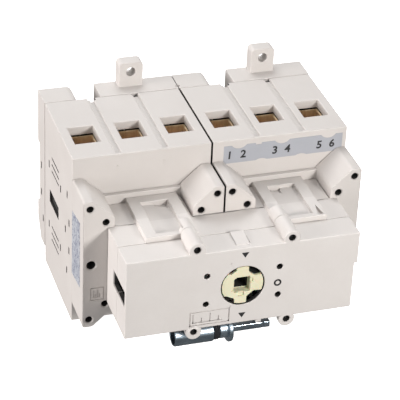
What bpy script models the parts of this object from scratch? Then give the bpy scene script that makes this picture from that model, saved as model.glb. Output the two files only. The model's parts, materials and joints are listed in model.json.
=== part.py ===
"""Manual transfer switch: two three-pole load switches side by side, joined by a front gearbox.

Metres, +Z up. X runs across the poles, Y runs from the front (negative) to the mounting plane at
Y = 0, and Z = 0 is the height of the drive shafts. Clockwise on the hub closes the left switch
and opens the right one further; anticlockwise does the opposite; at rest both are open.
"""

import math

import bmesh
import bpy
from mathutils import Matrix, Vector

# ---- driving sizes -------------------------------------------------------------------------
POLE_PITCH = 0.0235
POLES = 3
GAP = 0.0003                 # kept between pieces that touch
PAST = 0.001                 # how far a cutter runs past the face that it opens
BASE_SEAM = 0.0003           # between the two bases
HOUSING_SEAM = 0.0009        # between the two housings
SWITCH_MID = 0.0006          # mid-height of a switch above the drive shafts
SWITCH_HEIGHT = 0.0938

# depth planes, from the mounting plane forwards
BASE_DEPTH = 0.0143
HOUSING_DEPTH = 0.0567
COVER_DEPTH = 0.0222
GEARBOX_REAR_DEPTH = 0.0170
GEARBOX_FRONT_DEPTH = 0.0149

# base: rail channel, feet and notches
RAIL_WIDTH = 0.0354
RAIL_DEPTH = 0.0040
BASE_BOTTOM = 0.0382         # below the switch's mid-height
BASE_TAPER = Vector((0.0065, 0.0110))  # of the base's lower rear edge, forwards and up
BASE_POCKET_DEPTH = 0.0073
FOOT_WIDTH = 0.0126
FOOT_THICKNESS = 0.0069
FOOT_REACH = 0.0134          # past the switch's top or bottom
FOOT_HOLE_RADIUS = 0.00245
FOOT_HOLE_REACH = 0.0081
FOOT_CORNER = 0.0020
NOTCH_WIDTH = 0.0116
NOTCH_DEPTH = 0.0120

# housing: chamber, terminal pockets, wire entries and grooves
HOUSING_WALL = 0.0020
HOUSING_FRONT_WALL = 0.0030
CHAMBER_HALF_HEIGHT = 0.0190
WIRE_ENTRY_WIDTH = 0.0129
WIRE_ENTRY_DEPTH = 0.0161
WIRE_ENTRY_FRONT = 0.0137    # from the housing's front face
WIRE_RIM = 0.0045
CLAMP_MARGIN = Vector((0.0009, 0.0007))  # clamp wider and deeper than its wire entry
CLAMP_HEIGHT = 0.0170
CLAMP_WALL = 0.0012
CLAMP_TOP_GAP = 0.0008       # under the rim
GROOVE_WIDTH = 0.0028
GROOVE_DEPTH = 0.0010
GROOVE_END = 0.0015          # left uncut at the front edge

# front cover
HORN_HEIGHT = 0.0359         # above and below the switch's mid-height
HORN_TOP = 0.0050
HORN_NECK = 0.01935          # from the switch's centre to the inner side of a horn
HORN_SHOULDER = 0.0262
HORN_CORNER = 0.0012
HORN_EASE = 0.0030           # radius at both ends of a horn's slope
COVER_FLANGE = 0.0024
COVER_FLANGE_DROP = 0.0005   # flange below the horns' shoulders
COVER_FRONT_WALL = 0.0020
COVER_SIDE_WALL = 0.0024
COVER_LEVEL_WALL = 0.0038
COVER_EDGE = 0.0028
SIDE_HOLE_RADIUS = 0.00225
SIDE_HOLE_INSET = 0.0040
SIDE_HOLE_DEPTH = 0.0080
OUTER_SCREW_INSET = Vector((0.0033, 0.0043))   # from a horn's outer top corner
INNER_SCREW_INSET = Vector((0.00425, 0.0028))  # from a horn's shoulder

# screws
SCREW_HEAD_RADIUS = 0.00140
SCREW_HEAD_HEIGHT = 0.0012
SCREW_SHANK_RADIUS = 0.00085
SCREW_DROP = 0.0035          # cover screw's head below the mouth of its hole
GEARBOX_SCREW_DROP = 0.0024
SCREW_BITE = 0.0080          # length in the piece that it holds to

# gearbox
GEAR_CLEARANCE = 0.00095     # between the gears' tips and the walls
GEARBOX_WALL = 0.0016
GEARBOX_SIDE_WALL = 0.0030
GEARBOX_FRONT_WALL = 0.0025
GEARBOX_BACK_WALL = 0.0020
SIDE_SLOT = Vector((0.0202, 0.0087))
SIDE_SLOT_FRONT = 0.0015
BOSS_X = 0.0235
BOSS_RISE = 0.0020           # axis above the gearbox's top
BOSS_RADIUS = 0.0040
LOWER_BOSS_DEPTH = 0.0038
HANDLE_HOLES = Vector((0.0181, 0.0080))
HANDLE_HOLE_RADIUS = 0.00135
HUB_CLEARANCE = 0.00054      # round the hub in its opening
RAMP_SIZE = Vector((0.0070, 0.0116, 0.0013))
PAD_SHIFT = {"left": 0.0039, "right": -0.0018}
PAD_WIDTH = 0.0257
PAD_RISE = 0.0026
PAD_RECESS = Vector((0.0138, 0.0283))
PAD_RECESS_BACK = 0.0055
PAD_FLOOR = 0.0006

# hub and gear train
HUB_RADIUS = 0.0104
HUB_FLOOR_RADIUS = 0.0085
HUB_SINK = 0.0005
HUB_HEAD_DEPTH = 0.0080
HUB_SOCKET = 0.0080
HUB_SOCKET_DEPTH = 0.0150
HUB_STEM_WALL = 0.0010       # between the socket's corners and the stem's flats
HUB_JOURNAL_RADIUS = 0.0040
WIDE_LOBE = math.radians(31)
NARROW_LOBE = math.radians(16)
TEETH = 24
GEAR_THICKNESS = 0.0070
GEAR_FRONT = 0.0120          # behind the gearbox's front face
GEAR_BACKLASH = 0.00045
PRESSURE_ANGLE = math.radians(22)
PINION_TEETH = 8
PINION_RADIUS = 0.0034
PINION_WIDTH = 0.0100
PINION_START = 0.0095        # behind the housing's front face
PINION_PRESSURE_ANGLE = math.radians(28)
PINION_BACKLASH = 0.00040
SHAFT_RADIUS = 0.0032

# contact system
BLADE = Vector((0.0034, 0.0020, 0.0330))
BLADE_REST = -0.0009         # blade's centre from the pole's centre, before mirroring
CARRIER_HEIGHT = 0.0054
CARRIER_BACK_WALL = 0.0051   # of the carrier behind its blades
RACK_HALF = 0.0095
JAW_OPEN_GAP = 0.0012        # from the blade at rest to the jaw
JAW_CLEARANCE = 0.00046      # from the closed blade to the jaw's root
JAW_SHEET = 0.0010
JAW_HEIGHT = 0.0050
JAW_OVERLAP = 0.0050         # of the blade's end
TONGUE_WIDTH = 0.0080
TONGUE_LAP = 0.0015          # of the tongue on its jaw
TONGUE_CLEARANCE = 0.00105   # behind the tongue in its clamp

# stored shaft coupling under the gearbox
COUPLING_START = -0.0310
SLEEVE_LENGTH = 0.0198
COUPLING_RADIUS = 0.0057
COUPLING_WALL = 0.0010
SLEEVE_END_WALL = 0.0020
COUPLING_FRONT = 0.0103      # axis behind the gearbox's front face
COUPLING_DROP = 0.0094       # axis under the gearbox
RING_WIDTH = 0.0027
RING_RADIUS = 0.0052
BUSH_LENGTH = 0.0041
BUSH_RADIUS = 0.0049
FLANGE_WIDTH = 0.0020
BUSH_FLANGE_RADIUS = 0.0071
BAR_SIZE = Vector((0.0050, 0.0034))
BAR_INSIDE = 0.0008          # of the bar in the sleeve, and then past the sleeve
BAR_OUTSIDE = 0.0294
SADDLE_INSET = (0.0125, 0.0232)  # sleeve's saddle from its start, bar's from the sleeve's end
SADDLE_WIDTH = 0.0030

# ---- sizes worked out from those -----------------------------------------------------------
SWITCH_WIDTH = POLES * POLE_PITCH
SWITCH_TOP = SWITCH_MID + SWITCH_HEIGHT / 2
SWITCH_BOTTOM = SWITCH_MID - SWITCH_HEIGHT / 2
BASE_HALF = (SWITCH_WIDTH - BASE_SEAM) / 2
HOUSING_HALF = (SWITCH_WIDTH - HOUSING_SEAM) / 2
BASE_FRONT = -BASE_DEPTH
HOUSING_BACK = BASE_FRONT - GAP
HOUSING_FRONT = HOUSING_BACK - HOUSING_DEPTH
COVER_BACK = HOUSING_FRONT - GAP
COVER_FRONT = COVER_BACK - COVER_DEPTH
GEARBOX_BACK = COVER_FRONT - GAP
GEARBOX_SPLIT = GEARBOX_BACK - GEARBOX_REAR_DEPTH
SHELL_BACK = GEARBOX_SPLIT - GAP
GEARBOX_FRONT = SHELL_BACK - GEARBOX_FRONT_DEPTH
SHELF_BACK = COVER_BACK - COVER_FLANGE - GAP
GEAR_RADIUS = SWITCH_WIDTH / 4
GEAR_MODULE = 2 * GEAR_RADIUS / TEETH
GEAR_ADDENDUM = 0.8 * GEAR_MODULE
GEAR_TIP = GEAR_RADIUS + GEAR_ADDENDUM
GEARBOX_HALF_WIDTH = SWITCH_WIDTH / 2 + GEAR_TIP + GEAR_CLEARANCE + GEARBOX_SIDE_WALL
GEARBOX_TOP = GEAR_TIP + GEAR_CLEARANCE + GEARBOX_WALL
SHELF_FLOOR = GEARBOX_TOP - GEARBOX_WALL
COVER_MID_HEIGHT = SHELF_FLOOR - GAP - SWITCH_MID
COVER_SCREWS = (Vector((HOUSING_HALF, HORN_HEIGHT)) - OUTER_SCREW_INSET,
                Vector((HORN_NECK + INNER_SCREW_INSET.x, HORN_SHOULDER - INNER_SCREW_INSET.y)))
BOSS_Z = GEARBOX_TOP + BOSS_RISE
POLE_X = [(index - (POLES - 1) / 2) * POLE_PITCH for index in range(POLES)]
GROOVE_X = [(index - POLES / 2) * POLE_PITCH for index in range(1, POLES)]
WIRE_FRONT = HOUSING_FRONT + WIRE_ENTRY_FRONT
WIRE_MID = WIRE_FRONT + WIRE_ENTRY_DEPTH / 2
CLAMP_SIZE = Vector((WIRE_ENTRY_WIDTH + CLAMP_MARGIN.x, WIRE_ENTRY_DEPTH + CLAMP_MARGIN.y,
                     CLAMP_HEIGHT))
JAW_HALF = BLADE.y / 2 + GAP
BLADE_Y = (WIRE_MID + CLAMP_SIZE.y / 2 - CLAMP_WALL - TONGUE_CLEARANCE + JAW_HALF + GAP / 3)
CARRIER_BACK = BLADE_Y + JAW_HALF + CARRIER_BACK_WALL
GEAR_NEAR = GEARBOX_FRONT + GEAR_FRONT
GEAR_FAR = GEAR_NEAR + GEAR_THICKNESS
PINION_FRONT = HOUSING_FRONT + PINION_START
PINION_BACK = PINION_FRONT + PINION_WIDTH
HUB_STEM_RADIUS = (HUB_SOCKET / math.sqrt(2) + HUB_STEM_WALL) / math.cos(math.pi / 8)
SHAFT_HOLE_RADIUS = SHAFT_RADIUS + GAP
PINION_MODULE = 2 * PINION_RADIUS / PINION_TEETH
PINION_ADDENDUM = 0.75 * PINION_MODULE
RACK_ROOT = -PINION_RADIUS - PINION_MODULE
CARRIER_LOW = RACK_ROOT - CARRIER_HEIGHT
TRAVEL = PINION_RADIUS * math.pi / 2
JAW_TIP = BLADE_REST + BLADE.x / 2 + JAW_OPEN_GAP
JAW_ROOT = BLADE_REST + TRAVEL + BLADE.x / 2 + JAW_CLEARANCE
SLEEVE_END = COUPLING_START + SLEEVE_LENGTH
COUPLING_Y = GEARBOX_FRONT + COUPLING_FRONT
COUPLING_Z = -GEARBOX_TOP - COUPLING_DROP

SIDES = {"left": -1, "right": 1}


# ---- scene, materials and small shapes -----------------------------------------------------
def clear_scene():
    for thing in list(bpy.data.objects):
        bpy.data.objects.remove(thing, do_unlink=True)


def collection(name, hidden):
    group = bpy.data.collections.new(name)
    bpy.context.scene.collection.children.link(group)
    group.hide_render = hidden
    return group


def material(name, colour, roughness, metallic=0.0):
    made = bpy.data.materials.new(name)
    made.use_nodes = True
    shader = made.node_tree.nodes["Principled BSDF"]
    shader.inputs["Base Color"].default_value = (*colour, 1.0)
    shader.inputs["Roughness"].default_value = roughness
    shader.inputs["Metallic"].default_value = metallic
    made.diffuse_color = (*colour, 1.0)
    made.roughness = roughness
    made.metallic = metallic
    return made


clear_scene()
PARTS = collection("manual_transfer_switch", hidden=False)
CUTTERS = collection("cutters", hidden=True)
GREY_PLASTIC = material("grey_plastic", (0.62, 0.58, 0.54), 0.55)
CREAM_PLASTIC = material("cream_plastic", (0.72, 0.70, 0.50), 0.45)
WHITE_NYLON = material("white_nylon", (0.75, 0.75, 0.72), 0.40)
BLACK_RUBBER = material("black_rubber", (0.02, 0.02, 0.02), 0.60)
COPPER = material("copper", (0.72, 0.36, 0.20), 0.30, 1.0)
BRASS = material("brass", (0.70, 0.50, 0.22), 0.32, 1.0)
ZINC = material("zinc_plate", (0.50, 0.56, 0.60), 0.30, 1.0)
BLACK_STEEL = material("black_steel", (0.05, 0.05, 0.05), 0.45, 1.0)


def from_bmesh(name, bm, group, finish=None):
    bmesh.ops.recalc_face_normals(bm, faces=bm.faces)
    mesh = bpy.data.meshes.new(name)
    bm.to_mesh(mesh)
    bm.free()
    made = bpy.data.objects.new(name, mesh)
    group.objects.link(made)
    if finish:
        mesh.materials.append(finish)
    if group is CUTTERS:
        made.hide_render = True
        made.display_type = "WIRE"
    return made


def add_box(bm, low, high):
    low, high = Vector(low), Vector(high)
    size = Matrix.Diagonal((*(high - low), 1.0))
    bmesh.ops.create_cube(bm, size=1.0, matrix=Matrix.Translation((low + high) / 2) @ size)


def boxes(name, spans, group=None, finish=None):
    """One object of separate boxes, each given by two opposite corners."""
    bm = bmesh.new()
    for low, high in spans:
        add_box(bm, low, high)
    return from_bmesh(name, bm, group or CUTTERS, finish)


def along_y(low, high):
    """Places a cone primitive's axis on Y, from low to high."""
    return Matrix.Translation((0, (low + high) / 2, 0)) @ Matrix.Rotation(math.pi / 2, 4, "X")


def rods(name, places, radius, low, high, sides=12, group=None, finish=None, turn=0.0):
    """One object of separate round bars along Y, one at each (x, z)."""
    bm = bmesh.new()
    for x, z in places:
        where = Matrix.Translation((x, 0, z)) @ along_y(low, high) @ Matrix.Rotation(turn, 4, "Z")
        bmesh.ops.create_cone(bm, cap_ends=True, segments=sides, radius1=radius, radius2=radius,
                              depth=abs(high - low), matrix=where)
    return from_bmesh(name, bm, group or CUTTERS, finish)


def outline_mesh(name, loops, thickness):
    """A mesh of flat outlines, filled and given thickness; an inner loop is a hole."""
    curve = bpy.data.curves.new(name + "_outline", "CURVE")
    curve.dimensions = "2D"
    curve.fill_mode = "BOTH"
    curve.extrude = thickness / 2
    for loop in loops:
        spline = curve.splines.new("POLY")
        spline.points.add(len(loop) - 1)
        spline.use_cyclic_u = True
        for point, (x, y) in zip(spline.points, loop):
            point.co = (x, y, 0.0, 1.0)
    guide = bpy.data.objects.new(name + "_outline", curve)
    PARTS.objects.link(guide)
    bpy.context.view_layer.update()
    graph = bpy.context.evaluated_depsgraph_get()
    mesh = bpy.data.meshes.new_from_object(guide.evaluated_get(graph))
    bpy.data.objects.remove(guide, do_unlink=True)
    bpy.data.curves.remove(curve)
    return mesh


def prism(name, loops, low, high, group=None, finish=None, axis="Y"):
    """An outline in (x, z) drawn along Y, or in (y, z) drawn along X, from low to high."""
    mesh = outline_mesh(name, loops, high - low)
    bm = bmesh.new()
    bm.from_mesh(mesh)
    bpy.data.meshes.remove(mesh)
    bmesh.ops.remove_doubles(bm, verts=bm.verts, dist=1e-6)
    middle = (low + high) / 2
    if axis == "Y":
        bm.transform(Matrix.Translation((0, middle, 0)) @ Matrix.Rotation(math.pi / 2, 4, "X"))
    else:
        to_yz = Matrix(((0, 0, 1, middle), (1, 0, 0, 0), (0, 1, 0, 0), (0, 0, 0, 1)))
        bm.transform(to_yz)
    return from_bmesh(name, bm, group or CUTTERS, finish)


def boolean(target, tool, operation):
    change = target.modifiers.new(operation.lower() + "_" + tool.name, "BOOLEAN")
    change.operation = operation
    change.solver = "EXACT"
    change.object = tool


def cut(target, tool):
    boolean(target, tool, "DIFFERENCE")


def join(target, tool):
    boolean(target, tool, "UNION")


def set_origin(thing, point):
    """Moves an object's origin to a point and leaves its shape where it is."""
    thing.data.transform(Matrix.Translation(-Vector(point)))
    thing.location = point


def rounded(corners):
    """An outline of (x, y, radius) corners, with each radius drawn as an arc of three steps."""
    points = []
    for index, (x, y, radius) in enumerate(corners):
        here = Vector((x, y))
        if not radius:
            points.append((x, y))
            continue
        before = (Vector(corners[index - 1][:2]) - here).normalized()
        after = (Vector(corners[(index + 1) % len(corners)][:2]) - here).normalized()
        half = before.angle(after) / 2
        centre = here + (before + after).normalized() * (radius / math.sin(half))
        start = here + before * (radius / math.tan(half)) - centre
        sweep = start.angle_signed(here + after * (radius / math.tan(half)) - centre)
        for step in range(4):
            turn = Matrix.Rotation(-sweep * step / 3, 2)
            points.append(tuple(centre + turn @ start))
    return points


def circle(radius, sides, turn=0.0):
    return [(radius * math.cos(turn + 2 * math.pi * k / sides),
             radius * math.sin(turn + 2 * math.pi * k / sides)) for k in range(sides)]


# ---- gears ---------------------------------------------------------------------------------
def involute_half_angle(radius, pitch_radius, angle, half_at_pitch):
    """Half the angle that a tooth fills at a radius on or outside its base circle."""
    base = pitch_radius * math.cos(angle)
    here = math.acos(min(1.0, base / radius))
    return half_at_pitch + (math.tan(angle) - angle) - (math.tan(here) - here)


def gear_outline(teeth, pitch_radius, angle, addendum, dedendum, backlash, turn):
    """Spur teeth with involute flanks, radial below the base circle."""
    base = pitch_radius * math.cos(angle)
    root = pitch_radius - dedendum
    tip = pitch_radius + addendum
    half_at_pitch = math.pi / (2 * teeth) - backlash / (4 * pitch_radius)
    start = max(base, root)
    radii = [start, pitch_radius, tip]
    flank = [(radius, involute_half_angle(radius, pitch_radius, angle, half_at_pitch))
             for radius in radii]
    if root < base:
        flank.insert(0, (root, flank[0][1]))
    points = []
    for tooth in range(teeth):
        middle = turn + 2 * math.pi * tooth / teeth
        side = [(radius, middle - half) for radius, half in flank]
        side += [(radius, middle + half) for radius, half in reversed(flank)]
        points += [(radius * math.cos(at), radius * math.sin(at)) for radius, at in side]
    return points


def rack_teeth(pitch, reach, pitch_line, addendum, dedendum, angle, backlash, from_x):
    """The top edge of a rack, left to right, with a gap at x = from_x."""
    half = pitch / 4 - backlash / 4
    lean = math.tan(angle)
    count = int(reach / pitch)
    points = []
    for index in range(-count, count):
        middle = from_x + (index + 0.5) * pitch
        low, high = half + dedendum * lean, half - addendum * lean
        points += [(middle - low, pitch_line - dedendum), (middle - high, pitch_line + addendum),
                   (middle + high, pitch_line + addendum), (middle + low, pitch_line - dedendum)]
    return points


# ---- one switch ----------------------------------------------------------------------------
def make_base(side, centre):
    front_to_back = [
        (BASE_FRONT, SWITCH_TOP), (0, SWITCH_TOP),
        (0, SWITCH_MID + RAIL_WIDTH / 2), (-RAIL_DEPTH, SWITCH_MID + RAIL_WIDTH / 2),
        (-RAIL_DEPTH, SWITCH_MID - RAIL_WIDTH / 2), (0, SWITCH_MID - RAIL_WIDTH / 2),
        (0, SWITCH_MID - BASE_BOTTOM + BASE_TAPER.y), (-BASE_TAPER.x, SWITCH_MID - BASE_BOTTOM),
        (BASE_FRONT, SWITCH_MID - BASE_BOTTOM),
    ]
    base = prism(side + "_base", [front_to_back], centre - BASE_HALF, centre + BASE_HALF,
                 PARTS, GREY_PLASTIC, axis="X")
    inner = BASE_HALF - 2 * HOUSING_WALL
    pocket_top = SWITCH_TOP - NOTCH_DEPTH - HOUSING_WALL
    pocket_bottom = SWITCH_MID - BASE_BOTTOM + BASE_TAPER.y - HOUSING_WALL
    cut(base, boxes(side + "_base_pocket", [
        ((centre - inner, BASE_FRONT - GAP, pocket_bottom),
         (centre + inner, BASE_FRONT + BASE_POCKET_DEPTH, pocket_top))]))
    rail_x, foot_x = (centre + x for x in GROOVE_X)
    upper = foot_outline(foot_x, SWITCH_TOP - NOTCH_DEPTH / 3, SWITCH_TOP + FOOT_REACH)
    lower = foot_outline(rail_x, SWITCH_MID - BASE_BOTTOM + NOTCH_DEPTH / 3,
                         SWITCH_BOTTOM - FOOT_REACH)
    for name, outline in (("_upper_foot", upper), ("_lower_foot", lower)):
        join(base, prism(side + name, [outline], -FOOT_THICKNESS, -GAP / 10))
    cut(base, rods(side + "_foot_holes", [
        (foot_x, SWITCH_TOP + FOOT_HOLE_REACH), (rail_x, SWITCH_BOTTOM - FOOT_HOLE_REACH)],
        FOOT_HOLE_RADIUS, -FOOT_THICKNESS - PAST, PAST, sides=20))
    half = NOTCH_WIDTH / 2
    cut(base, boxes(side + "_base_notches", [
        ((rail_x - half, BASE_FRONT - PAST, SWITCH_TOP - NOTCH_DEPTH),
         (rail_x + half, PAST, SWITCH_TOP + PAST)),
        ((foot_x - half, BASE_FRONT - PAST, SWITCH_MID - BASE_BOTTOM - PAST),
         (foot_x + half, PAST, SWITCH_MID - BASE_BOTTOM + NOTCH_DEPTH / 2))]))
    join(base, boxes(side + "_guide_rib", [
        ((centre - inner + PAST, CARRIER_BACK + GAP, CARRIER_LOW + GAP),
         (centre + inner - PAST, BASE_FRONT + BASE_POCKET_DEPTH + PAST, RACK_ROOT - GAP))]))
    return base


def foot_outline(x, inner, outer):
    half = FOOT_WIDTH / 2
    return rounded([(x - half, inner, 0), (x - half, outer, FOOT_CORNER),
                    (x + half, outer, FOOT_CORNER), (x + half, inner, 0)])


def make_housing(side, centre):
    housing = boxes(side + "_housing", [
        ((centre - HOUSING_HALF, HOUSING_FRONT, SWITCH_BOTTOM),
         (centre + HOUSING_HALF, HOUSING_BACK, SWITCH_TOP))], PARTS, GREY_PLASTIC)
    inner = HOUSING_HALF - HOUSING_WALL
    cut(housing, boxes(side + "_chamber", [
        ((centre - inner, HOUSING_FRONT + HOUSING_FRONT_WALL, SWITCH_MID - CHAMBER_HALF_HEIGHT),
         (centre + inner, HOUSING_BACK + PAST, SWITCH_MID + CHAMBER_HALF_HEIGHT))]))
    half = CLAMP_SIZE.x / 2 + GAP
    front = WIRE_MID - CLAMP_SIZE.y / 2 - GAP
    pockets, entries, grooves = [], [], []
    for x in POLE_X:
        for up in (1, -1):
            near = SWITCH_MID + up * (CHAMBER_HALF_HEIGHT - PAST)
            rim = SWITCH_MID + up * (SWITCH_HEIGHT / 2 - WIRE_RIM)
            out = SWITCH_MID + up * (SWITCH_HEIGHT / 2 + PAST)
            inside = rim - up * GAP
            pockets.append(((centre + x - half, front, min(near, rim)),
                            (centre + x + half, HOUSING_BACK + PAST, max(near, rim))))
            entries.append(((centre + x - WIRE_ENTRY_WIDTH / 2, WIRE_FRONT, min(inside, out)),
                            (centre + x + WIRE_ENTRY_WIDTH / 2, WIRE_FRONT + WIRE_ENTRY_DEPTH,
                             max(inside, out))))
    for x in GROOVE_X:
        for up in (1, -1):
            floor = SWITCH_MID + up * (SWITCH_HEIGHT / 2 - GROOVE_DEPTH)
            out = SWITCH_MID + up * (SWITCH_HEIGHT / 2 + PAST)
            grooves.append(((centre + x - GROOVE_WIDTH / 2, HOUSING_FRONT + GROOVE_END,
                             min(floor, out)),
                            (centre + x + GROOVE_WIDTH / 2, HOUSING_BACK + PAST,
                             max(floor, out))))
    cut(housing, boxes(side + "_terminal_pockets", pockets))
    cut(housing, boxes(side + "_wire_entries", entries))
    cut(housing, boxes(side + "_grooves", grooves))
    widest = max(PINION_RADIUS + PINION_ADDENDUM, SHAFT_RADIUS)
    cut(housing, rods(side + "_housing_shaft_hole", [(centre, 0)], widest + GAP,
                      HOUSING_FRONT - PAST, HOUSING_FRONT + HOUSING_FRONT_WALL + PAST, 16))
    cut(housing, rods(side + "_housing_screw_holes", screw_places(centre),
                      SCREW_SHANK_RADIUS + GAP, HOUSING_FRONT - PAST,
                      HOUSING_FRONT + SCREW_BITE + PAST, 8))
    return housing


def screw_places(centre, corners=COVER_SCREWS):
    return [(centre + across * at.x, SWITCH_MID + up * at.y)
            for at in corners for across in (1, -1) for up in (1, -1)]


def make_cover(side, centre):
    quarter = [
        (HOUSING_HALF, HORN_HEIGHT, HORN_CORNER),
        (HOUSING_HALF - HORN_TOP, HORN_HEIGHT, HORN_EASE),
        (HORN_NECK, HORN_SHOULDER, HORN_EASE),
        (HORN_NECK, COVER_MID_HEIGHT, 0),
    ]
    upper = quarter + [(-x, y, r) for x, y, r in reversed(quarter)]
    lower = [(-x, -y, r) for x, y, r in upper]
    outline = [(centre + x, SWITCH_MID + y) for x, y in rounded(upper + lower)]
    cover = prism(side + "_front_cover", [outline], COVER_FRONT, COVER_BACK, PARTS, GREY_PLASTIC)
    round_outer_edges(cover, centre)
    flange, height = HORN_NECK + PAST, HORN_SHOULDER - COVER_FLANGE_DROP
    join(cover, boxes(side + "_cover_flange", [
        ((centre - flange, COVER_BACK - COVER_FLANGE, SWITCH_MID - height),
         (centre + flange, COVER_BACK - GAP / 10, SWITCH_MID + height))]))
    pocket = Vector((HORN_NECK - COVER_SIDE_WALL, COVER_MID_HEIGHT - COVER_LEVEL_WALL))
    cut(cover, boxes(side + "_cover_pocket", [
        ((centre - pocket.x, COVER_FRONT + COVER_FRONT_WALL, SWITCH_MID - pocket.y),
         (centre + pocket.x, COVER_BACK + PAST, SWITCH_MID + pocket.y))]))
    cut(cover, rods(side + "_cover_shaft_hole", [(centre, 0)], SHAFT_HOLE_RADIUS,
                    COVER_FRONT - PAST, COVER_FRONT + COVER_FRONT_WALL + PAST, 16))
    places = screw_places(centre)
    cut(cover, rods(side + "_cover_counterbores", places, SCREW_HEAD_RADIUS + GAP,
                    COVER_FRONT - PAST, COVER_FRONT + SCREW_DROP + SCREW_HEAD_HEIGHT, 12))
    cut(cover, rods(side + "_cover_screw_holes", places, SCREW_SHANK_RADIUS + GAP,
                    COVER_FRONT + SCREW_DROP, COVER_BACK + PAST, 8))
    out = HOUSING_HALF - SIDE_HOLE_INSET
    cut(cover, rods(side + "_side_holes", [(centre + x, SWITCH_MID) for x in (-out, out)],
                    SIDE_HOLE_RADIUS, COVER_FRONT - PAST, COVER_FRONT + SIDE_HOLE_DEPTH, 16))
    return cover


def round_outer_edges(cover, centre):
    """Rounds the front cover's upright front edge on its outer side."""
    outer = centre + math.copysign(HOUSING_HALF, centre)
    bm = bmesh.new()
    bm.from_mesh(cover.data)
    edges = [edge for edge in bm.edges if all(
        abs(v.co.x - outer) < 1e-6 and abs(v.co.y - COVER_FRONT) < 1e-6 for v in edge.verts)]
    bmesh.ops.bevel(bm, geom=edges, offset=COVER_EDGE, offset_type="OFFSET", segments=3,
                    profile=0.5, affect="EDGES", material=-1, clamp_overlap=False)
    bm.to_mesh(cover.data)
    bm.free()


def turned_screw(name, x, z, head, reach):
    """A screw along Y: the front of its head at head, its shank running back to reach."""
    bm = bmesh.new()
    bmesh.ops.create_cone(bm, cap_ends=True, segments=12, radius1=SCREW_HEAD_RADIUS,
                          radius2=SCREW_HEAD_RADIUS, depth=SCREW_HEAD_HEIGHT - GAP,
                          matrix=along_y(head, head + SCREW_HEAD_HEIGHT - GAP))
    screw = from_bmesh(name, bm, PARTS, BLACK_STEEL)
    shank = rods(name + "_shank", [(0, 0)], SCREW_SHANK_RADIUS,
                 head + SCREW_HEAD_HEIGHT / 2, reach, 8)
    shank.parent = screw
    join(screw, shank)
    set_origin(screw, (0, head, 0))
    shank.location = (0, -head, 0)
    screw.location = (x, head, z)
    return screw


def make_clamp(name, x, up):
    rim = SWITCH_MID + up * (SWITCH_HEIGHT / 2 - WIRE_RIM - CLAMP_TOP_GAP)
    far = rim - up * CLAMP_SIZE.z
    half = CLAMP_SIZE / 2
    low, high = min(rim, far), max(rim, far)
    clamp = boxes(name, [((x - half.x, WIRE_MID - half.y, low),
                          (x + half.x, WIRE_MID + half.y, high))], PARTS, BRASS)
    cut(clamp, boxes(name + "_bore", [
        ((x - half.x + CLAMP_WALL, WIRE_MID - half.y + CLAMP_WALL, low - PAST),
         (x + half.x - CLAMP_WALL, WIRE_MID + half.y - CLAMP_WALL, high + PAST))]))
    return clamp


def make_fixed_contact(name, x, up, hand):
    """A jaw that the blade slides into, and a tongue that runs out into the clamp."""
    blade_end = SWITCH_MID + up * BLADE.z / 2
    jaw_near, jaw_far = blade_end - up * JAW_OVERLAP, blade_end - up * (JAW_OVERLAP - JAW_HEIGHT)
    outer = JAW_HALF + JAW_SHEET
    far = JAW_ROOT + JAW_SHEET
    section = [(JAW_TIP, outer), (JAW_TIP, JAW_HALF), (JAW_ROOT, JAW_HALF),
               (JAW_ROOT, -JAW_HALF), (JAW_TIP, -JAW_HALF), (JAW_TIP, -outer),
               (far, -outer), (far, outer)]
    if hand < 0:
        section = [(-u, v) for u, v in reversed(section)]
    mesh = outline_mesh(name, [section], JAW_HEIGHT)
    bm = bmesh.new()
    bm.from_mesh(mesh)
    bpy.data.meshes.remove(mesh)
    bmesh.ops.remove_doubles(bm, verts=bm.verts, dist=1e-6)
    bm.transform(Matrix.Translation((x, BLADE_Y, (jaw_near + jaw_far) / 2)))
    contact = from_bmesh(name, bm, PARTS, COPPER)
    rim = SWITCH_MID + up * (SWITCH_HEIGHT / 2 - WIRE_RIM - CLAMP_TOP_GAP)
    end = rim - up * CLAMP_SIZE.z / 4
    start = jaw_far - up * TONGUE_LAP
    bore_side = CLAMP_SIZE.x / 2 - CLAMP_WALL - 2 * GAP
    across = sorted((x + hand * bore_side, x + hand * (bore_side - TONGUE_WIDTH)))
    sheet = (BLADE_Y - outer - GAP, BLADE_Y - JAW_HALF - GAP / 3)
    join(contact, boxes(name + "_tongue", [
        ((across[0], sheet[0], min(start, end)), (across[1], sheet[1], max(start, end)))]))
    return contact


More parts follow.
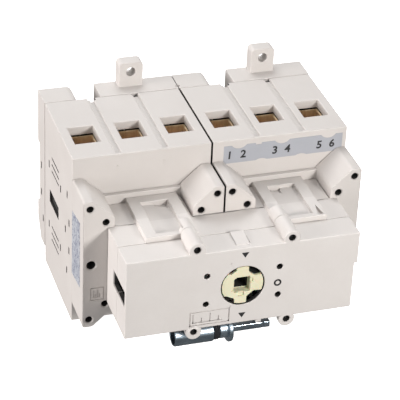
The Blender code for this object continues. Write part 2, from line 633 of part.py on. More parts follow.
def make_carrier(side, centre, hand):
    low, high = CARRIER_LOW, RACK_ROOT
    half_blade = BLADE.x / 2 + 2 * GAP
    first = centre + POLE_X[0] + hand * BLADE_REST - half_blade
    last = centre + POLE_X[-1] + hand * BLADE_REST + half_blade
    teeth = rack_teeth(math.pi * PINION_MODULE, RACK_HALF, -PINION_RADIUS, PINION_ADDENDUM,
                       PINION_MODULE, PINION_PRESSURE_ANGLE, PINION_BACKLASH, centre)
    outline = [(first, low), (first, high)] + teeth + [(last, high), (last, low)]
    carrier = prism(side + "_contact_carrier", [outline], PINION_FRONT + 3 * GAP, CARRIER_BACK,
                    PARTS, WHITE_NYLON)
    slots = [(centre + x + hand * BLADE_REST, BLADE_Y) for x in POLE_X]
    cut(carrier, boxes(side + "_blade_slots", [
        ((x - BLADE.x / 2 - GAP, y - BLADE.y / 2 - GAP, low - PAST),
         (x + BLADE.x / 2 + GAP, y + BLADE.y / 2 + GAP, -PINION_RADIUS + PAST))
        for x, y in slots]))
    set_origin(carrier, (centre, 0, 0))
    for tool in [m.object for m in carrier.modifiers if m.type == "BOOLEAN"]:
        tool.data.transform(Matrix.Translation((-centre, 0, 0)))
        tool.parent = carrier
    for index, (x, y) in enumerate(slots, start=1):
        blade = boxes(f"{side}_moving_contact_{index}", [
            ((x - BLADE.x / 2, y - BLADE.y / 2, SWITCH_MID - BLADE.z / 2),
             (x + BLADE.x / 2, y + BLADE.y / 2, SWITCH_MID + BLADE.z / 2))], PARTS, COPPER)
        blade.data.transform(Matrix.Translation((-centre, 0, 0)))
        blade.parent = carrier
    return carrier


def make_gear_shaft(side, centre):
    half_tooth = math.pi / TEETH
    wheel = gear_outline(TEETH, GEAR_RADIUS, PRESSURE_ANGLE, GEAR_ADDENDUM, GEAR_MODULE,
                         GEAR_BACKLASH, half_tooth)
    shaft = prism(side + "_gear_shaft", [wheel], GEAR_NEAR, GEAR_FAR, PARTS, WHITE_NYLON)
    rod = rods(side + "_shaft_rod", [(0, 0)], SHAFT_RADIUS, GEAR_FAR - GEAR_THICKNESS / 2,
               PINION_FRONT + GAP, 16)
    pinion = gear_outline(PINION_TEETH, PINION_RADIUS, PINION_PRESSURE_ANGLE,
                          PINION_ADDENDUM, PINION_MODULE, PINION_BACKLASH, math.pi / 2)
    teeth = prism(side + "_pinion", [pinion], PINION_FRONT, PINION_BACK)
    for tool in (rod, teeth):
        tool.parent = shaft
        join(shaft, tool)
    shaft.location = (centre, 0, 0)
    return shaft


def make_switch(side):
    centre = SIDES[side] * SWITCH_WIDTH / 2
    hand = -SIDES[side]
    make_base(side, centre)
    make_housing(side, centre)
    make_cover(side, centre)
    for index, (x, z) in enumerate(screw_places(centre, COVER_SCREWS[:1]), start=1):
        turned_screw(f"{side}_cover_screw_{index}", x, z,
                     COVER_FRONT + SCREW_DROP, HOUSING_FRONT + SCREW_BITE)
    for index, pole in enumerate(POLE_X, start=1):
        for word, up in (("top", 1), ("bottom", -1)):
            make_clamp(f"{side}_{word}_clamp_{index}", centre + pole, up)
            make_fixed_contact(f"{side}_{word}_contact_{index}", centre + pole, up, hand)
    make_gear_shaft(side, centre)
    make_carrier(side, centre, hand)


# ---- gearbox -------------------------------------------------------------------------------
def boss_places():
    return [(x, z) for x in (-BOSS_X, BOSS_X) for z in (BOSS_Z, -BOSS_Z)]


def side_slots(name, low, high):
    reach = GEARBOX_SIDE_WALL + PAST
    half = SIDE_SLOT.y / 2
    return boxes(name, [
        ((-GEARBOX_HALF_WIDTH - PAST, low, -half), (-GEARBOX_HALF_WIDTH + reach, high, half)),
        ((GEARBOX_HALF_WIDTH - reach, low, -half), (GEARBOX_HALF_WIDTH + PAST, high, half))])


def make_gearbox_front():
    shell = boxes("gearbox_front", [
        ((-GEARBOX_HALF_WIDTH, GEARBOX_FRONT, -GEARBOX_TOP),
         (GEARBOX_HALF_WIDTH, SHELL_BACK, GEARBOX_TOP))], PARTS, GREY_PLASTIC)
    for up, word in ((1, "upper"), (-1, "lower")):
        back = SHELL_BACK if up > 0 else GEARBOX_FRONT + LOWER_BOSS_DEPTH
        join(shell, rods(word + "_bosses", [(x, up * BOSS_Z) for x in (-BOSS_X, BOSS_X)],
                         BOSS_RADIUS, GEARBOX_FRONT + GAP / 10, back - GAP / 10, 20))
    ramp_back = SHELL_BACK - GAP
    ramp_front = ramp_back - RAMP_SIZE.y
    ramp = [(ramp_front, GEARBOX_TOP - GAP), (ramp_back, GEARBOX_TOP - GAP),
            (ramp_back, GEARBOX_TOP + RAMP_SIZE.z), (ramp_front, GEARBOX_TOP + RAMP_SIZE.z / 4)]
    join(shell, prism("latch_ramp", [ramp], -RAMP_SIZE.x / 2, RAMP_SIZE.x / 2, axis="X"))
    saddles = ((COUPLING_START + SADDLE_INSET[0], COUPLING_RADIUS),
               (SLEEVE_END + SADDLE_INSET[1], BAR_SIZE.y / 2))
    for index, (x, reach) in enumerate(saddles, start=1):
        join(shell, boxes(f"saddle_{index}", [
            ((x - SADDLE_WIDTH / 2, COUPLING_Y - BAR_SIZE.x / 2, COUPLING_Z + reach + GAP),
             (x + SADDLE_WIDTH / 2, COUPLING_Y + BAR_SIZE.x / 2, -GEARBOX_TOP + GAP))]))
    cut(shell, boxes("front_shell_inside", [
        ((-GEARBOX_HALF_WIDTH + GEARBOX_SIDE_WALL, GEARBOX_FRONT + GEARBOX_FRONT_WALL,
          -GEARBOX_TOP + GEARBOX_WALL),
         (GEARBOX_HALF_WIDTH - GEARBOX_SIDE_WALL, SHELL_BACK + PAST,
          GEARBOX_TOP - GEARBOX_WALL))]))
    cut(shell, side_slots("front_side_slots", GEARBOX_FRONT + SIDE_SLOT_FRONT,
                          SHELL_BACK + PAST))
    past_wall = GEARBOX_FRONT + GEARBOX_FRONT_WALL + PAST
    cut(shell, rods("hub_opening", [(0, 0)], HUB_RADIUS + HUB_CLEARANCE,
                    GEARBOX_FRONT - PAST, past_wall, 40))
    handle = [(x * HANDLE_HOLES.x, z * HANDLE_HOLES.y) for x in (-1, 1) for z in (-1, 1)]
    cut(shell, rods("handle_holes", handle, HANDLE_HOLE_RADIUS, GEARBOX_FRONT - PAST,
                    past_wall, 12))
    upper = [place for place in boss_places() if place[1] > 0]
    lower = [place for place in boss_places() if place[1] < 0]
    cut(shell, rods("upper_boss_holes", upper, SCREW_HEAD_RADIUS + GAP,
                    GEARBOX_FRONT - PAST, SHELL_BACK + PAST, 12))
    cut(shell, rods("lower_boss_holes", lower, SCREW_HEAD_RADIUS + GAP,
                    GEARBOX_FRONT - PAST, GEARBOX_FRONT + LOWER_BOSS_DEPTH + PAST, 12))
    return shell


def make_gearbox_rear():
    shell = boxes("gearbox_rear", [
        ((-GEARBOX_HALF_WIDTH, GEARBOX_SPLIT, -GEARBOX_TOP),
         (GEARBOX_HALF_WIDTH, GEARBOX_BACK, GEARBOX_TOP))], PARTS, GREY_PLASTIC)
    reach = HORN_NECK - GAP
    pads = [sign * SWITCH_WIDTH / 2 + PAD_SHIFT[side] for side, sign in SIDES.items()]
    shelves = []
    for sign in SIDES.values():
        middle = sign * SWITCH_WIDTH / 2
        for up in (1, -1):
            bottom, top = sorted((up * (SHELF_FLOOR + GAP / 10), up * (GEARBOX_TOP - GAP / 10)))
            shelves.append(((middle - reach, GEARBOX_BACK - PAST, bottom),
                            (middle + reach, SHELF_BACK, top)))
    join(shell, boxes("shelves", shelves))
    join(shell, boxes("shoe_pads", [
        ((x - PAD_WIDTH / 2, GEARBOX_SPLIT + GAP / 10, GEARBOX_TOP - GAP),
         (x + PAD_WIDTH / 2, SHELF_BACK - GAP / 10, GEARBOX_TOP + PAD_RISE)) for x in pads]))
    join(shell, rods("rear_bosses", boss_places(), BOSS_RADIUS - GAP / 2,
                     GEARBOX_SPLIT + GAP / 5, GEARBOX_SPLIT + SCREW_BITE + PAST, 20))
    recess_back = SHELF_BACK - PAD_RECESS_BACK
    cut(shell, boxes("pad_recesses", [
        ((x - PAD_RECESS.x / 2, recess_back - PAD_RECESS.y, GEARBOX_TOP + PAD_FLOOR),
         (x + PAD_RECESS.x / 2, recess_back, GEARBOX_TOP + PAD_RISE + PAST)) for x in pads]))
    cut(shell, boxes("rear_shell_inside", [
        ((-GEARBOX_HALF_WIDTH + GEARBOX_SIDE_WALL, GEARBOX_SPLIT - PAST,
          -GEARBOX_TOP + GEARBOX_WALL),
         (GEARBOX_HALF_WIDTH - GEARBOX_SIDE_WALL, GEARBOX_BACK - GEARBOX_BACK_WALL,
          GEARBOX_TOP - GEARBOX_WALL))]))
    slot_back = GEARBOX_FRONT + SIDE_SLOT_FRONT + SIDE_SLOT.x
    cut(shell, side_slots("rear_side_slots", GEARBOX_SPLIT - PAST, slot_back))
    shafts = [(sign * SWITCH_WIDTH / 2, 0) for sign in SIDES.values()]
    past = (GEARBOX_BACK - GEARBOX_BACK_WALL - PAST, GEARBOX_BACK + PAST)
    cut(shell, rods("gearbox_shaft_holes", shafts, SHAFT_HOLE_RADIUS, *past, 16))
    cut(shell, rods("hub_journal_hole", [(0, 0)], HUB_JOURNAL_RADIUS + GAP, *past, 16))
    cut(shell, rods("rear_boss_holes", boss_places(), SCREW_SHANK_RADIUS + GAP,
                    GEARBOX_SPLIT - PAST, GEARBOX_SPLIT + SCREW_BITE, 8))
    return shell


def make_gearbox_screws():
    for index, (x, z) in enumerate(boss_places(), start=1):
        turned_screw(f"gearbox_screw_{index}", x, z,
                     GEARBOX_FRONT + GEARBOX_SCREW_DROP, GEARBOX_SPLIT + SCREW_BITE - PAST)


# ---- hub -----------------------------------------------------------------------------------
def hub_outline():
    """Four lobes, the level pair wide and the upright pair narrow, with low arcs between."""
    points = []
    lobes = [(0, WIDE_LOBE), (90, NARROW_LOBE), (180, WIDE_LOBE), (270, NARROW_LOBE)]
    for index, (degrees, half) in enumerate(lobes):
        middle = math.radians(degrees)
        following = math.radians(degrees + 90) - lobes[(index + 1) % 4][1]
        for step in range(5):
            at = middle - half + 2 * half * step / 4
            points.append((HUB_RADIUS * math.cos(at), HUB_RADIUS * math.sin(at)))
        for step in range(4):
            at = middle + half + (following - middle - half) * step / 3
            points.append((HUB_FLOOR_RADIUS * math.cos(at), HUB_FLOOR_RADIUS * math.sin(at)))
    return points


def make_hub():
    head_front = GEARBOX_FRONT + HUB_SINK
    head_back = head_front + HUB_HEAD_DEPTH
    hub = prism("drive_hub", [hub_outline()], head_front, head_back, PARTS, CREAM_PLASTIC)
    stem_back = GEARBOX_BACK - GEARBOX_BACK_WALL - GAP
    eighth = math.pi / 8
    join(hub, rods("hub_stem", [(0, 0)], HUB_STEM_RADIUS, head_back - PAST, stem_back, 8,
                   turn=eighth))
    join(hub, rods("hub_journal", [(0, 0)], HUB_JOURNAL_RADIUS, stem_back - PAST,
                   GEARBOX_BACK - GAP, 16))
    half = HUB_SOCKET / 2
    cut(hub, boxes("hub_socket", [
        ((-half, head_front - PAST, -half), (half, head_front + HUB_SOCKET_DEPTH, half))]))
    wheel = gear_outline(TEETH, GEAR_RADIUS, PRESSURE_ANGLE, GEAR_ADDENDUM, GEAR_MODULE,
                         GEAR_BACKLASH, 0.0)
    bore = circle(HUB_STEM_RADIUS + GAP, 8, eighth)
    prism("hub_gear", [wheel, bore], GEAR_NEAR, GEAR_FAR, PARTS, WHITE_NYLON)
    return hub


# ---- stored shaft coupling -----------------------------------------------------------------
def turned_piece(name, profile, finish, steps=24):
    """A closed (height, radius) profile turned about the coupling's axis, which runs along X."""
    bm = bmesh.new()
    ring = [bm.verts.new((radius, 0, height)) for height, radius in profile]
    for index, vert in enumerate(ring):
        bm.edges.new((vert, ring[(index + 1) % len(ring)]))
    mesh = bpy.data.meshes.new(name)
    bm.to_mesh(mesh)
    bm.free()
    mesh.materials.append(finish)
    made = bpy.data.objects.new(name, mesh)
    PARTS.objects.link(made)
    spin = made.modifiers.new("turn", "SCREW")
    spin.axis = "Z"
    spin.angle = 2 * math.pi
    spin.steps = steps
    spin.render_steps = steps
    spin.use_merge_vertices = True
    spin.merge_threshold = 1e-5
    made.rotation_euler = (0, math.pi / 2, 0)
    made.location = (0, COUPLING_Y, COUPLING_Z)
    return made


def make_coupling():
    bore = BAR_SIZE.length / 2 + GAP
    start, end = COUPLING_START, SLEEVE_END
    inside = COUPLING_RADIUS - COUPLING_WALL
    turned_piece("coupling_sleeve", [
        (end, bore), (end, COUPLING_RADIUS), (start, COUPLING_RADIUS), (start, inside),
        (end - SLEEVE_END_WALL, inside), (end - SLEEVE_END_WALL, bore)], ZINC)
    ring_start = end + GAP
    ring_end = ring_start + RING_WIDTH
    turned_piece("coupling_ring", [
        (ring_end, bore), (ring_end, RING_RADIUS), (ring_start, RING_RADIUS),
        (ring_start, bore)], BLACK_RUBBER)
    near = ring_end + GAP
    shoulder = near + BUSH_LENGTH
    far = shoulder + FLANGE_WIDTH
    turned_piece("coupling_bush", [
        (far, bore), (far, BUSH_FLANGE_RADIUS), (shoulder, BUSH_FLANGE_RADIUS),
        (shoulder, BUSH_RADIUS), (near, BUSH_RADIUS), (near, bore)], ZINC)
    boxes("coupling_bar", [
        ((end - BAR_INSIDE, COUPLING_Y - BAR_SIZE.x / 2, COUPLING_Z - BAR_SIZE.y / 2),
         (end + BAR_OUTSIDE, COUPLING_Y + BAR_SIZE.x / 2, COUPLING_Z + BAR_SIZE.y / 2))],
        PARTS, ZINC)


def main():
    for side in SIDES:
        make_switch(side)
    make_gearbox_front()
    make_gearbox_rear()
    make_gearbox_screws()
    make_hub()
    make_coupling()


main()
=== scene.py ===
import json
import math

import bmesh
import bpy
from mathutils import Matrix, Vector

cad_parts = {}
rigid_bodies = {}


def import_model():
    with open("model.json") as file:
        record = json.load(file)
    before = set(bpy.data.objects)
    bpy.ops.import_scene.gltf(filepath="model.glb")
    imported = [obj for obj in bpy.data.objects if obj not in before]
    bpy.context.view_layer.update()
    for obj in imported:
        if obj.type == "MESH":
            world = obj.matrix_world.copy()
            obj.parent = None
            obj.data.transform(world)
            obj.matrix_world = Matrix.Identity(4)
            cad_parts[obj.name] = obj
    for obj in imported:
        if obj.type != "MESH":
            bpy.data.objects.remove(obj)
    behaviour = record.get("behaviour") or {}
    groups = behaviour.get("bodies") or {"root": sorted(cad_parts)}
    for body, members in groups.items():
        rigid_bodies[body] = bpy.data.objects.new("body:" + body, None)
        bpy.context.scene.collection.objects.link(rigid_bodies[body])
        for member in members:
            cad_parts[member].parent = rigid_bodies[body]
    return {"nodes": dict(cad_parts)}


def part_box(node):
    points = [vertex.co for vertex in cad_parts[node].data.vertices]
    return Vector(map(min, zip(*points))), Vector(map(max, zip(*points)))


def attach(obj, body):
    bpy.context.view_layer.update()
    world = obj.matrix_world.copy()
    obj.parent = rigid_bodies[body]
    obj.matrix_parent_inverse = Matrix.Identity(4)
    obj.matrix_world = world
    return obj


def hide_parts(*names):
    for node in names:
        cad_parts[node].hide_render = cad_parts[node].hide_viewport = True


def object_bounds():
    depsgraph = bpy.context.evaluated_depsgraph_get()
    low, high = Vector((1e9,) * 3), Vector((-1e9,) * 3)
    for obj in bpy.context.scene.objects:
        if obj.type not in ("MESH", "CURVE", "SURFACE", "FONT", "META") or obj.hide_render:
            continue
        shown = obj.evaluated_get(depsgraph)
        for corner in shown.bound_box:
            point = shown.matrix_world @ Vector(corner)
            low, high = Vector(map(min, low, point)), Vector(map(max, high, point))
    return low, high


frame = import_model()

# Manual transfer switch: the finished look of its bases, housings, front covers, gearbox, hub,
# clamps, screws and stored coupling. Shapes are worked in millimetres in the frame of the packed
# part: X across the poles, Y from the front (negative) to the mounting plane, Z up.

CAD_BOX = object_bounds()
MM = 0.001
SIDES = {"left": -1, "right": 1}
ACROSS = {"X": Vector((1, 0, 0)), "Y": Vector((0, 1, 0)), "Z": Vector((0, 0, 1))}
# Painted shade: the tint that darkens grey plastic set back from the front, where less light
# reaches.
SET_BACK_SHADE_TINT = (0.925, 0.92, 0.915, 1.0)


def span(node):
    """The lowest and highest corners of a CAD node, in millimetres."""
    low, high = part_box(node)
    return low / MM, high / MM


# ---- finishes ------------------------------------------------------------------------------
class Field:
    """A value that changes over a surface. Arithmetic on it adds Math nodes to its finish."""

    def __init__(self, finish, socket):
        self.finish = finish
        self.socket = socket

    def maths(self, operation, first, second):
        return self.finish.node("ShaderNodeMath", {"operation": operation}, {0: first, 1: second})

    def __add__(self, other):
        return self.maths("ADD", self, other)

    def __sub__(self, other):
        return self.maths("SUBTRACT", self, other)

    def __rsub__(self, other):
        return self.maths("SUBTRACT", other, self)

    def __mul__(self, other):
        return self.maths("MULTIPLY", self, other)

    def __gt__(self, other):
        return self.maths("GREATER_THAN", self, other)

    def __lt__(self, other):
        return self.maths("LESS_THAN", self, other)

    __radd__ = __add__
    __rmul__ = __mul__


class Finish:
    """A node material: a Principled shader and the fields that feed it."""

    def __init__(self, name, slot=None, **constants):
        self.material = bpy.data.materials.new(name)
        self.material.use_nodes = True
        self.slot = slot
        self.tree = self.material.node_tree
        self.shader = self.tree.nodes["Principled BSDF"]
        for socket, value in constants.items():
            self.shader.inputs[socket.replace("_", " ")].default_value = value
        self.place = self.node("ShaderNodeTexCoord", output="Object")

    def node(self, kind, settings=None, values=None, output=0):
        """Makes a node: its type, its settings, then the values and links of its inputs."""
        made = self.tree.nodes.new(kind)
        for name, value in (settings or {}).items():
            if name == "stops":
                self.set_stops(made.color_ramp, value)
            else:
                setattr(made, name, value)
        for name, value in (values or {}).items():
            if isinstance(value, Field):
                self.tree.links.new(value.socket, made.inputs[name])
            else:
                made.inputs[name].default_value = value
        return Field(self, made.outputs[output])

    def set_stops(self, ramp, stops):
        while len(ramp.elements) < len(stops):
            ramp.elements.new(1.0)
        for element, (at, colour) in zip(ramp.elements, stops):
            element.position = at
            element.color = colour if len(colour) == 4 else (*colour, 1.0)

    def feed(self, socket, field):
        """Links a field to an input of the shader."""
        self.tree.links.new(field.socket, self.shader.inputs[socket])

    def noise(self, scale, detail=2.0, roughness=0.5, stretch=(1, 1, 1)):
        """Noise over the shared frame, drawn out along an axis by a small stretch."""
        placed = self.node("ShaderNodeMapping", {"vector_type": "POINT"},
                           {"Vector": self.place, "Scale": stretch})
        return self.node("ShaderNodeTexNoise", None, {
            "Vector": placed, "Scale": scale, "Detail": detail, "Roughness": roughness})

    def ramp(self, field, stops):
        return self.node("ShaderNodeValToRGB", {"stops": stops}, {"Fac": field})

    def blend(self, factor, first, second):
        """A colour between two, by a factor."""
        colours = {key: value if isinstance(value, Field) else (*value, 1.0)
                   for key, value in ((6, first), (7, second))}
        return self.node("ShaderNodeMix", {"data_type": "RGBA"}, {0: factor, **colours}, 2)

    def bump(self, height, distance, strength=1.0):
        return self.node("ShaderNodeBump", None, {
            "Height": height, "Distance": distance, "Strength": strength})


def moulded_plastic(name, slot, light, dark, roughness, behind=None, **constants):
    """Fine-grained moulding: cloudy tone, flecks and a spark-eroded grain. Behind a depth, in
    metres, the plastic takes a painted shade: a slightly darker tint standing in for the lesser
    light on faces set back from the front."""
    finish = Finish(name, slot, **constants)
    cloud = finish.noise(55, 3)
    fleck = finish.noise(1500, 2)
    grain = finish.noise(3600, 2, 0.6)
    flow = finish.noise(260, 4, 0.6, (1, 0.15, 1))
    tone = cloud * 0.55 + fleck * 0.25 + flow * 0.20
    colour = finish.blend(
        finish.ramp(tone, [(0.30, (0, 0, 0)), (0.70, (1, 1, 1))]), dark, light)
    # Painted shade: faces behind the depth take the darker tint.
    if behind is not None:
        depth = finish.node("ShaderNodeSeparateXYZ", None, {"Vector": finish.place}, "Y")
        darker = finish.node("ShaderNodeMix", {"data_type": "RGBA", "blend_type": "MULTIPLY"},
                             {0: 1.0, 6: colour, 7: SET_BACK_SHADE_TINT}, 2)
        colour = finish.blend(depth > behind, colour, darker)
    finish.feed("Base Color", colour)
    finish.feed("Roughness", roughness - 0.11 + cloud * 0.10 + fleck * 0.12)
    finish.feed("Normal", finish.bump(grain * 0.7 + fleck * 0.3, 0.00004, 0.35))
    return finish


def plated_metal(name, slot, light, dark, roughness, stretch, **constants):
    """Drawn and plated metal: drawing lines, a faint spangle and patches of patina."""
    finish = Finish(name, slot, **{"Metallic": 1.0, **constants})
    lines = finish.noise(900, 4, 0.65, stretch)
    spangle = finish.noise(420, 2)
    patina = finish.noise(90, 4, 0.6)
    finish.feed("Base Color", finish.blend(
        finish.ramp(patina * 0.5 + lines * 0.3 + spangle * 0.2,
                    [(0.32, (0, 0, 0)), (0.66, (1, 1, 1))]), dark, light))
    finish.feed("Roughness", roughness - 0.10 + lines * 0.12 + patina * 0.12)
    finish.feed("Normal", finish.bump(lines, 0.00003, 0.4))
    return finish


def printed_sheet(name, base, mark, print_scale, gloss):
    """A thin label: satin film, with generic scribble and bars on it if it has a print scale."""
    finish = Finish(name, None, Coat_Weight=gloss, Coat_Roughness=0.25)
    film = finish.noise(140, 3)
    fibre = finish.noise(2600, 2)
    blended = finish.blend(finish.ramp(film * 0.6 + fibre * 0.4, [
        (0.3, (0, 0, 0)), (0.7, (1, 1, 1))]), [0.93 * c for c in base], base)
    if print_scale:
        scribble = finish.noise(print_scale, 3, 0.55)
        bars = finish.noise(print_scale * 2, 1, 0.5, (1, 1, 0.3))
        ink = (scribble > 0.47) * (scribble < 0.53) + (bars > 0.60) * 0.5
        blended = finish.blend(ink * 0.8, blended, mark)
    finish.feed("Base Color", blended)
    finish.feed("Roughness", 0.38 + film * 0.12)
    finish.feed("Normal", finish.bump(fibre, 0.00002, 0.3))
    return finish


def ink_finish():
    """Black print with a slight grain."""
    finish = Finish("black_ink", None)
    print_grain = finish.noise(3200, 2)
    finish.feed("Base Color", finish.blend(print_grain, (0.010, 0.010, 0.011),
                                           (0.030, 0.029, 0.030)))
    finish.feed("Roughness", 0.42 + print_grain * 0.2)
    return finish


# Grey plastic behind -0.094 m takes the painted shade tint.
GREY = moulded_plastic("grey_plastic", "grey_plastic", (0.650, 0.616, 0.592),
                       (0.610, 0.574, 0.548), 0.50, -0.094)
CREAM = moulded_plastic("cream_plastic", "cream_plastic", (0.760, 0.725, 0.540),
                        (0.690, 0.650, 0.450), 0.42, Subsurface_Weight=0.15,
                        Subsurface_Scale=0.001)
NYLON = moulded_plastic("white_nylon", "white_nylon", (0.780, 0.775, 0.740),
                        (0.700, 0.695, 0.655), 0.40, Subsurface_Weight=0.15,
                        Subsurface_Scale=0.0015)
RUBBER = moulded_plastic("black_rubber", "black_rubber", (0.030, 0.031, 0.034),
                         (0.016, 0.016, 0.018), 0.62)
COPPER = plated_metal("copper", "copper", (0.760, 0.400, 0.250), (0.520, 0.235, 0.120),
                      0.34, (1, 1, 0.06))
BRASS = plated_metal("brass", "brass", (0.900, 0.690, 0.440), (0.560, 0.390, 0.220),
                     0.46, (1, 1, 0.08), Metallic=0.35)
STEEL = moulded_plastic("black_steel", "black_steel", (0.040, 0.040, 0.042),
                        (0.018, 0.018, 0.020), 0.48)
ZINC = plated_metal("zinc_plate", "zinc_plate", (0.520, 0.610, 0.680), (0.240, 0.300, 0.350),
                    0.24, (0.04, 1, 1))
STICKER = printed_sheet("rating_sticker", (0.500, 0.520, 0.560), (0.160, 0.175, 0.260), 330, 0.3)
LABEL = printed_sheet("terminal_label", (0.385, 0.395, 0.430), (0.1, 0.1, 0.1), 0, 0.2)
INK = ink_finish()
# Painted shade: a near-black plastic given to faces inside holes, slots, cavities and narrow gaps,
# standing in for the shadow there.
PAINTED_SHADE = moulded_plastic("painted_shade_plastic", "grey_plastic", (0.030, 0.028, 0.027),
                         (0.020, 0.019, 0.018), 0.75)


# ---- shapes --------------------------------------------------------------------------------
def block(low, high, ease=0.0, steps=2):
    """A box between two corners, its edges rounded by ease."""
    low, high = Vector(low), Vector(high)
    bm = bmesh.new()
    size = Matrix.Diagonal((*(high - low), 1.0))
    bmesh.ops.create_cube(bm, size=1.0, matrix=Matrix.Translation((low + high) / 2) @ size)
    if ease:
        bmesh.ops.bevel(bm, geom=bm.edges[:], offset=ease, offset_type="OFFSET", segments=steps,
                        profile=0.5, affect="EDGES", material=-1, clamp_overlap=True)
    return bm


def rod(x, z, radius, low, high, sides=32, turn=0.0):
    """A round or many-sided bar along Y, from low to high."""
    bm = bmesh.new()
    where = (Matrix.Translation((x, (low + high) / 2, z)) @ Matrix.Rotation(-math.pi / 2, 4, "X")
             @ Matrix.Rotation(turn, 4, "Z"))
    bmesh.ops.create_cone(bm, cap_ends=True, segments=sides, radius1=radius, radius2=radius,
                          depth=high - low, matrix=where)
    return bm


def facing_front(bm, x, y, z):
    """Turns a shape made about the X axis to run along Y, its start at a point."""
    bm.transform(Matrix.Translation((x, y, z)) @ Matrix.Rotation(math.pi / 2, 4, "Z"))
    return bm


def slab(outline, low, high, along="Y"):
    """A flat outline drawn along an axis; its points are in the two other axes, in order."""
    places = {"X": lambda a, b: (low, a, b), "Y": lambda a, b: (a, low, b),
              "Z": lambda a, b: (a, b, low)}
    bm = bmesh.new()
    face = bm.faces.new([bm.verts.new(places[along](a, b)) for a, b in outline])
    grown = bmesh.ops.extrude_face_region(bm, geom=[face])["geom"]
    moved = [part for part in grown if isinstance(part, bmesh.types.BMVert)]
    bmesh.ops.translate(bm, verts=moved, vec=ACROSS[along] * (high - low))
    bmesh.ops.recalc_face_normals(bm, faces=bm.faces)
    return bm


def turned(profile, steps=64):
    """A closed profile of (along, out) points turned about the X axis."""
    bm = bmesh.new()
    ring = [bm.verts.new((along, 0, out)) for along, out in profile]
    edges = [bm.edges.new((ring[index - 1], vert)) for index, vert in enumerate(ring)
             if ring[index - 1].co.z or vert.co.z]
    bmesh.ops.spin(bm, geom=ring + edges, cent=(0, 0, 0), axis=(1, 0, 0), angle=2 * math.pi,
                   steps=steps, use_merge=True)
    bmesh.ops.remove_doubles(bm, verts=bm.verts, dist=0.0005)
    bmesh.ops.recalc_face_normals(bm, faces=bm.faces)
    return bm


def rounded(corners, steps=6):
    """An outline of (x, y, radius) corners, each radius drawn as an arc."""
    points = []
    for index, (x, y, radius) in enumerate(corners):
        here = Vector((x, y))
        if not radius:
            points.append((x, y))
            continue
        before = (Vector(corners[index - 1][:2]) - here).normalized()
        after = (Vector(corners[(index + 1) % len(corners)][:2]) - here).normalized()
        half = before.angle(after) / 2
        centre = here + (before + after).normalized() * (radius / math.sin(half))
        start = here + before * (radius / math.tan(half)) - centre
        sweep = start.angle_signed(here + after * (radius / math.tan(half)) - centre)
        points += [tuple(centre + Matrix.Rotation(-sweep * step / steps, 2) @ start)
                   for step in range(steps + 1)]
    return points


def loose_object(bm, name, group):
    """Makes an object of a shape, with no body yet."""
    mesh = bpy.data.meshes.new(name)
    bm.to_mesh(mesh)
    bm.free()
    made = bpy.data.objects.new(name, mesh)
    group.objects.link(made)
    return made


def shade_painted(bm, below=None):
    """Gives a cutter's faces, or those behind a depth, the painted shade of a deep hole: a dark
    finish standing in for its shadow.
    """
    for face in bm.faces:
        if below is None or face.calc_center_median().y > below:
            face.material_index = 1
    return bm


def lies_within(part, low, high):
    """Says whether a face or an edge lies wholly between two corners."""
    return all(a < b < c for v in part.verts for a, b, c in zip(low, v.co, high))


def paint_shade_within(bm, low, high):
    """Gives the faces that lie wholly between two corners the painted shade of a deep hole."""
    for face in bm.faces:
        if lies_within(face, low, high):
            face.material_index = 1
    return bm


def paint_gap_shade(bm, side, half):
    """Paints shade on the side of a switch that faces the other switch across a narrow gap, where
    shadow falls.
    """
    face = MIDDLE[side] - SIDES[side] * half
    return paint_shade_within(bm, (face - 0.05, -200, -200), (face + 0.05, 200, 200))


def combine(bm, tools, operation):
    """Cuts the tools' shapes out of a shape, or joins them to it. The tools are used up."""
    bench = bpy.data.collections.new("bench")
    bpy.context.scene.collection.children.link(bench)
    work = loose_object(bm, "work", bpy.context.scene.collection)
    for thing in [work, *(loose_object(tool, "tool", bench) for tool in tools)]:
        thing.data.materials.append(GREY.material)
        thing.data.materials.append(PAINTED_SHADE.material)
    change = work.modifiers.new("combine", "BOOLEAN")
    change.operation = operation
    change.solver = "EXACT"
    change.operand_type = "COLLECTION"
    change.collection = bench
    result = bmesh.new()
    result.from_object(work, bpy.context.evaluated_depsgraph_get())
    for thing in [work, *bench.objects]:
        bpy.data.meshes.remove(thing.data)
    bpy.data.collections.remove(bench)
    bmesh.ops.remove_doubles(result, verts=result.verts, dist=0.002)
    bmesh.ops.dissolve_limit(result, angle_limit=math.radians(0.5), verts=result.verts,
                             edges=result.edges, delimit={"MATERIAL"})
    return result


def cut(bm, tools):
    """Cuts tools out of a shape."""
    return combine(bm, tools, "DIFFERENCE")


def join(bm, tools):
    """Joins tools to a shape."""
    return combine(bm, tools, "UNION")


def copied(node):
    """A merged copy of a CAD node's shape, in millimetres."""
    bm = bmesh.new()
    bm.from_mesh(frame["nodes"][node].data)
    bmesh.ops.scale(bm, verts=bm.verts, vec=(1 / MM,) * 3)
    for vert in bm.verts:
        if abs(vert.co.y) < 0.1:
            vert.co.y = 0.0
    bmesh.ops.remove_doubles(bm, verts=bm.verts, dist=0.002)
    bmesh.ops.dissolve_limit(bm, angle_limit=math.radians(0.5), verts=bm.verts, edges=bm.edges)
    return bm


def eased(bm, radius, segments=2, least=40, inside=None):
    """Rounds every edge that turns by more than the least angle, in degrees, except those
    inside the two corners of a cavity."""
    sharp = [edge for edge in bm.edges if len(edge.link_faces) == 2
             and edge.calc_face_angle() > math.radians(least)
             and not (inside and lies_within(edge, *inside))]
    bmesh.ops.bevel(bm, geom=sharp, offset=radius, offset_type="OFFSET", segments=segments,
                    profile=0.5, affect="EDGES", material=-1, clamp_overlap=False)
    return bm


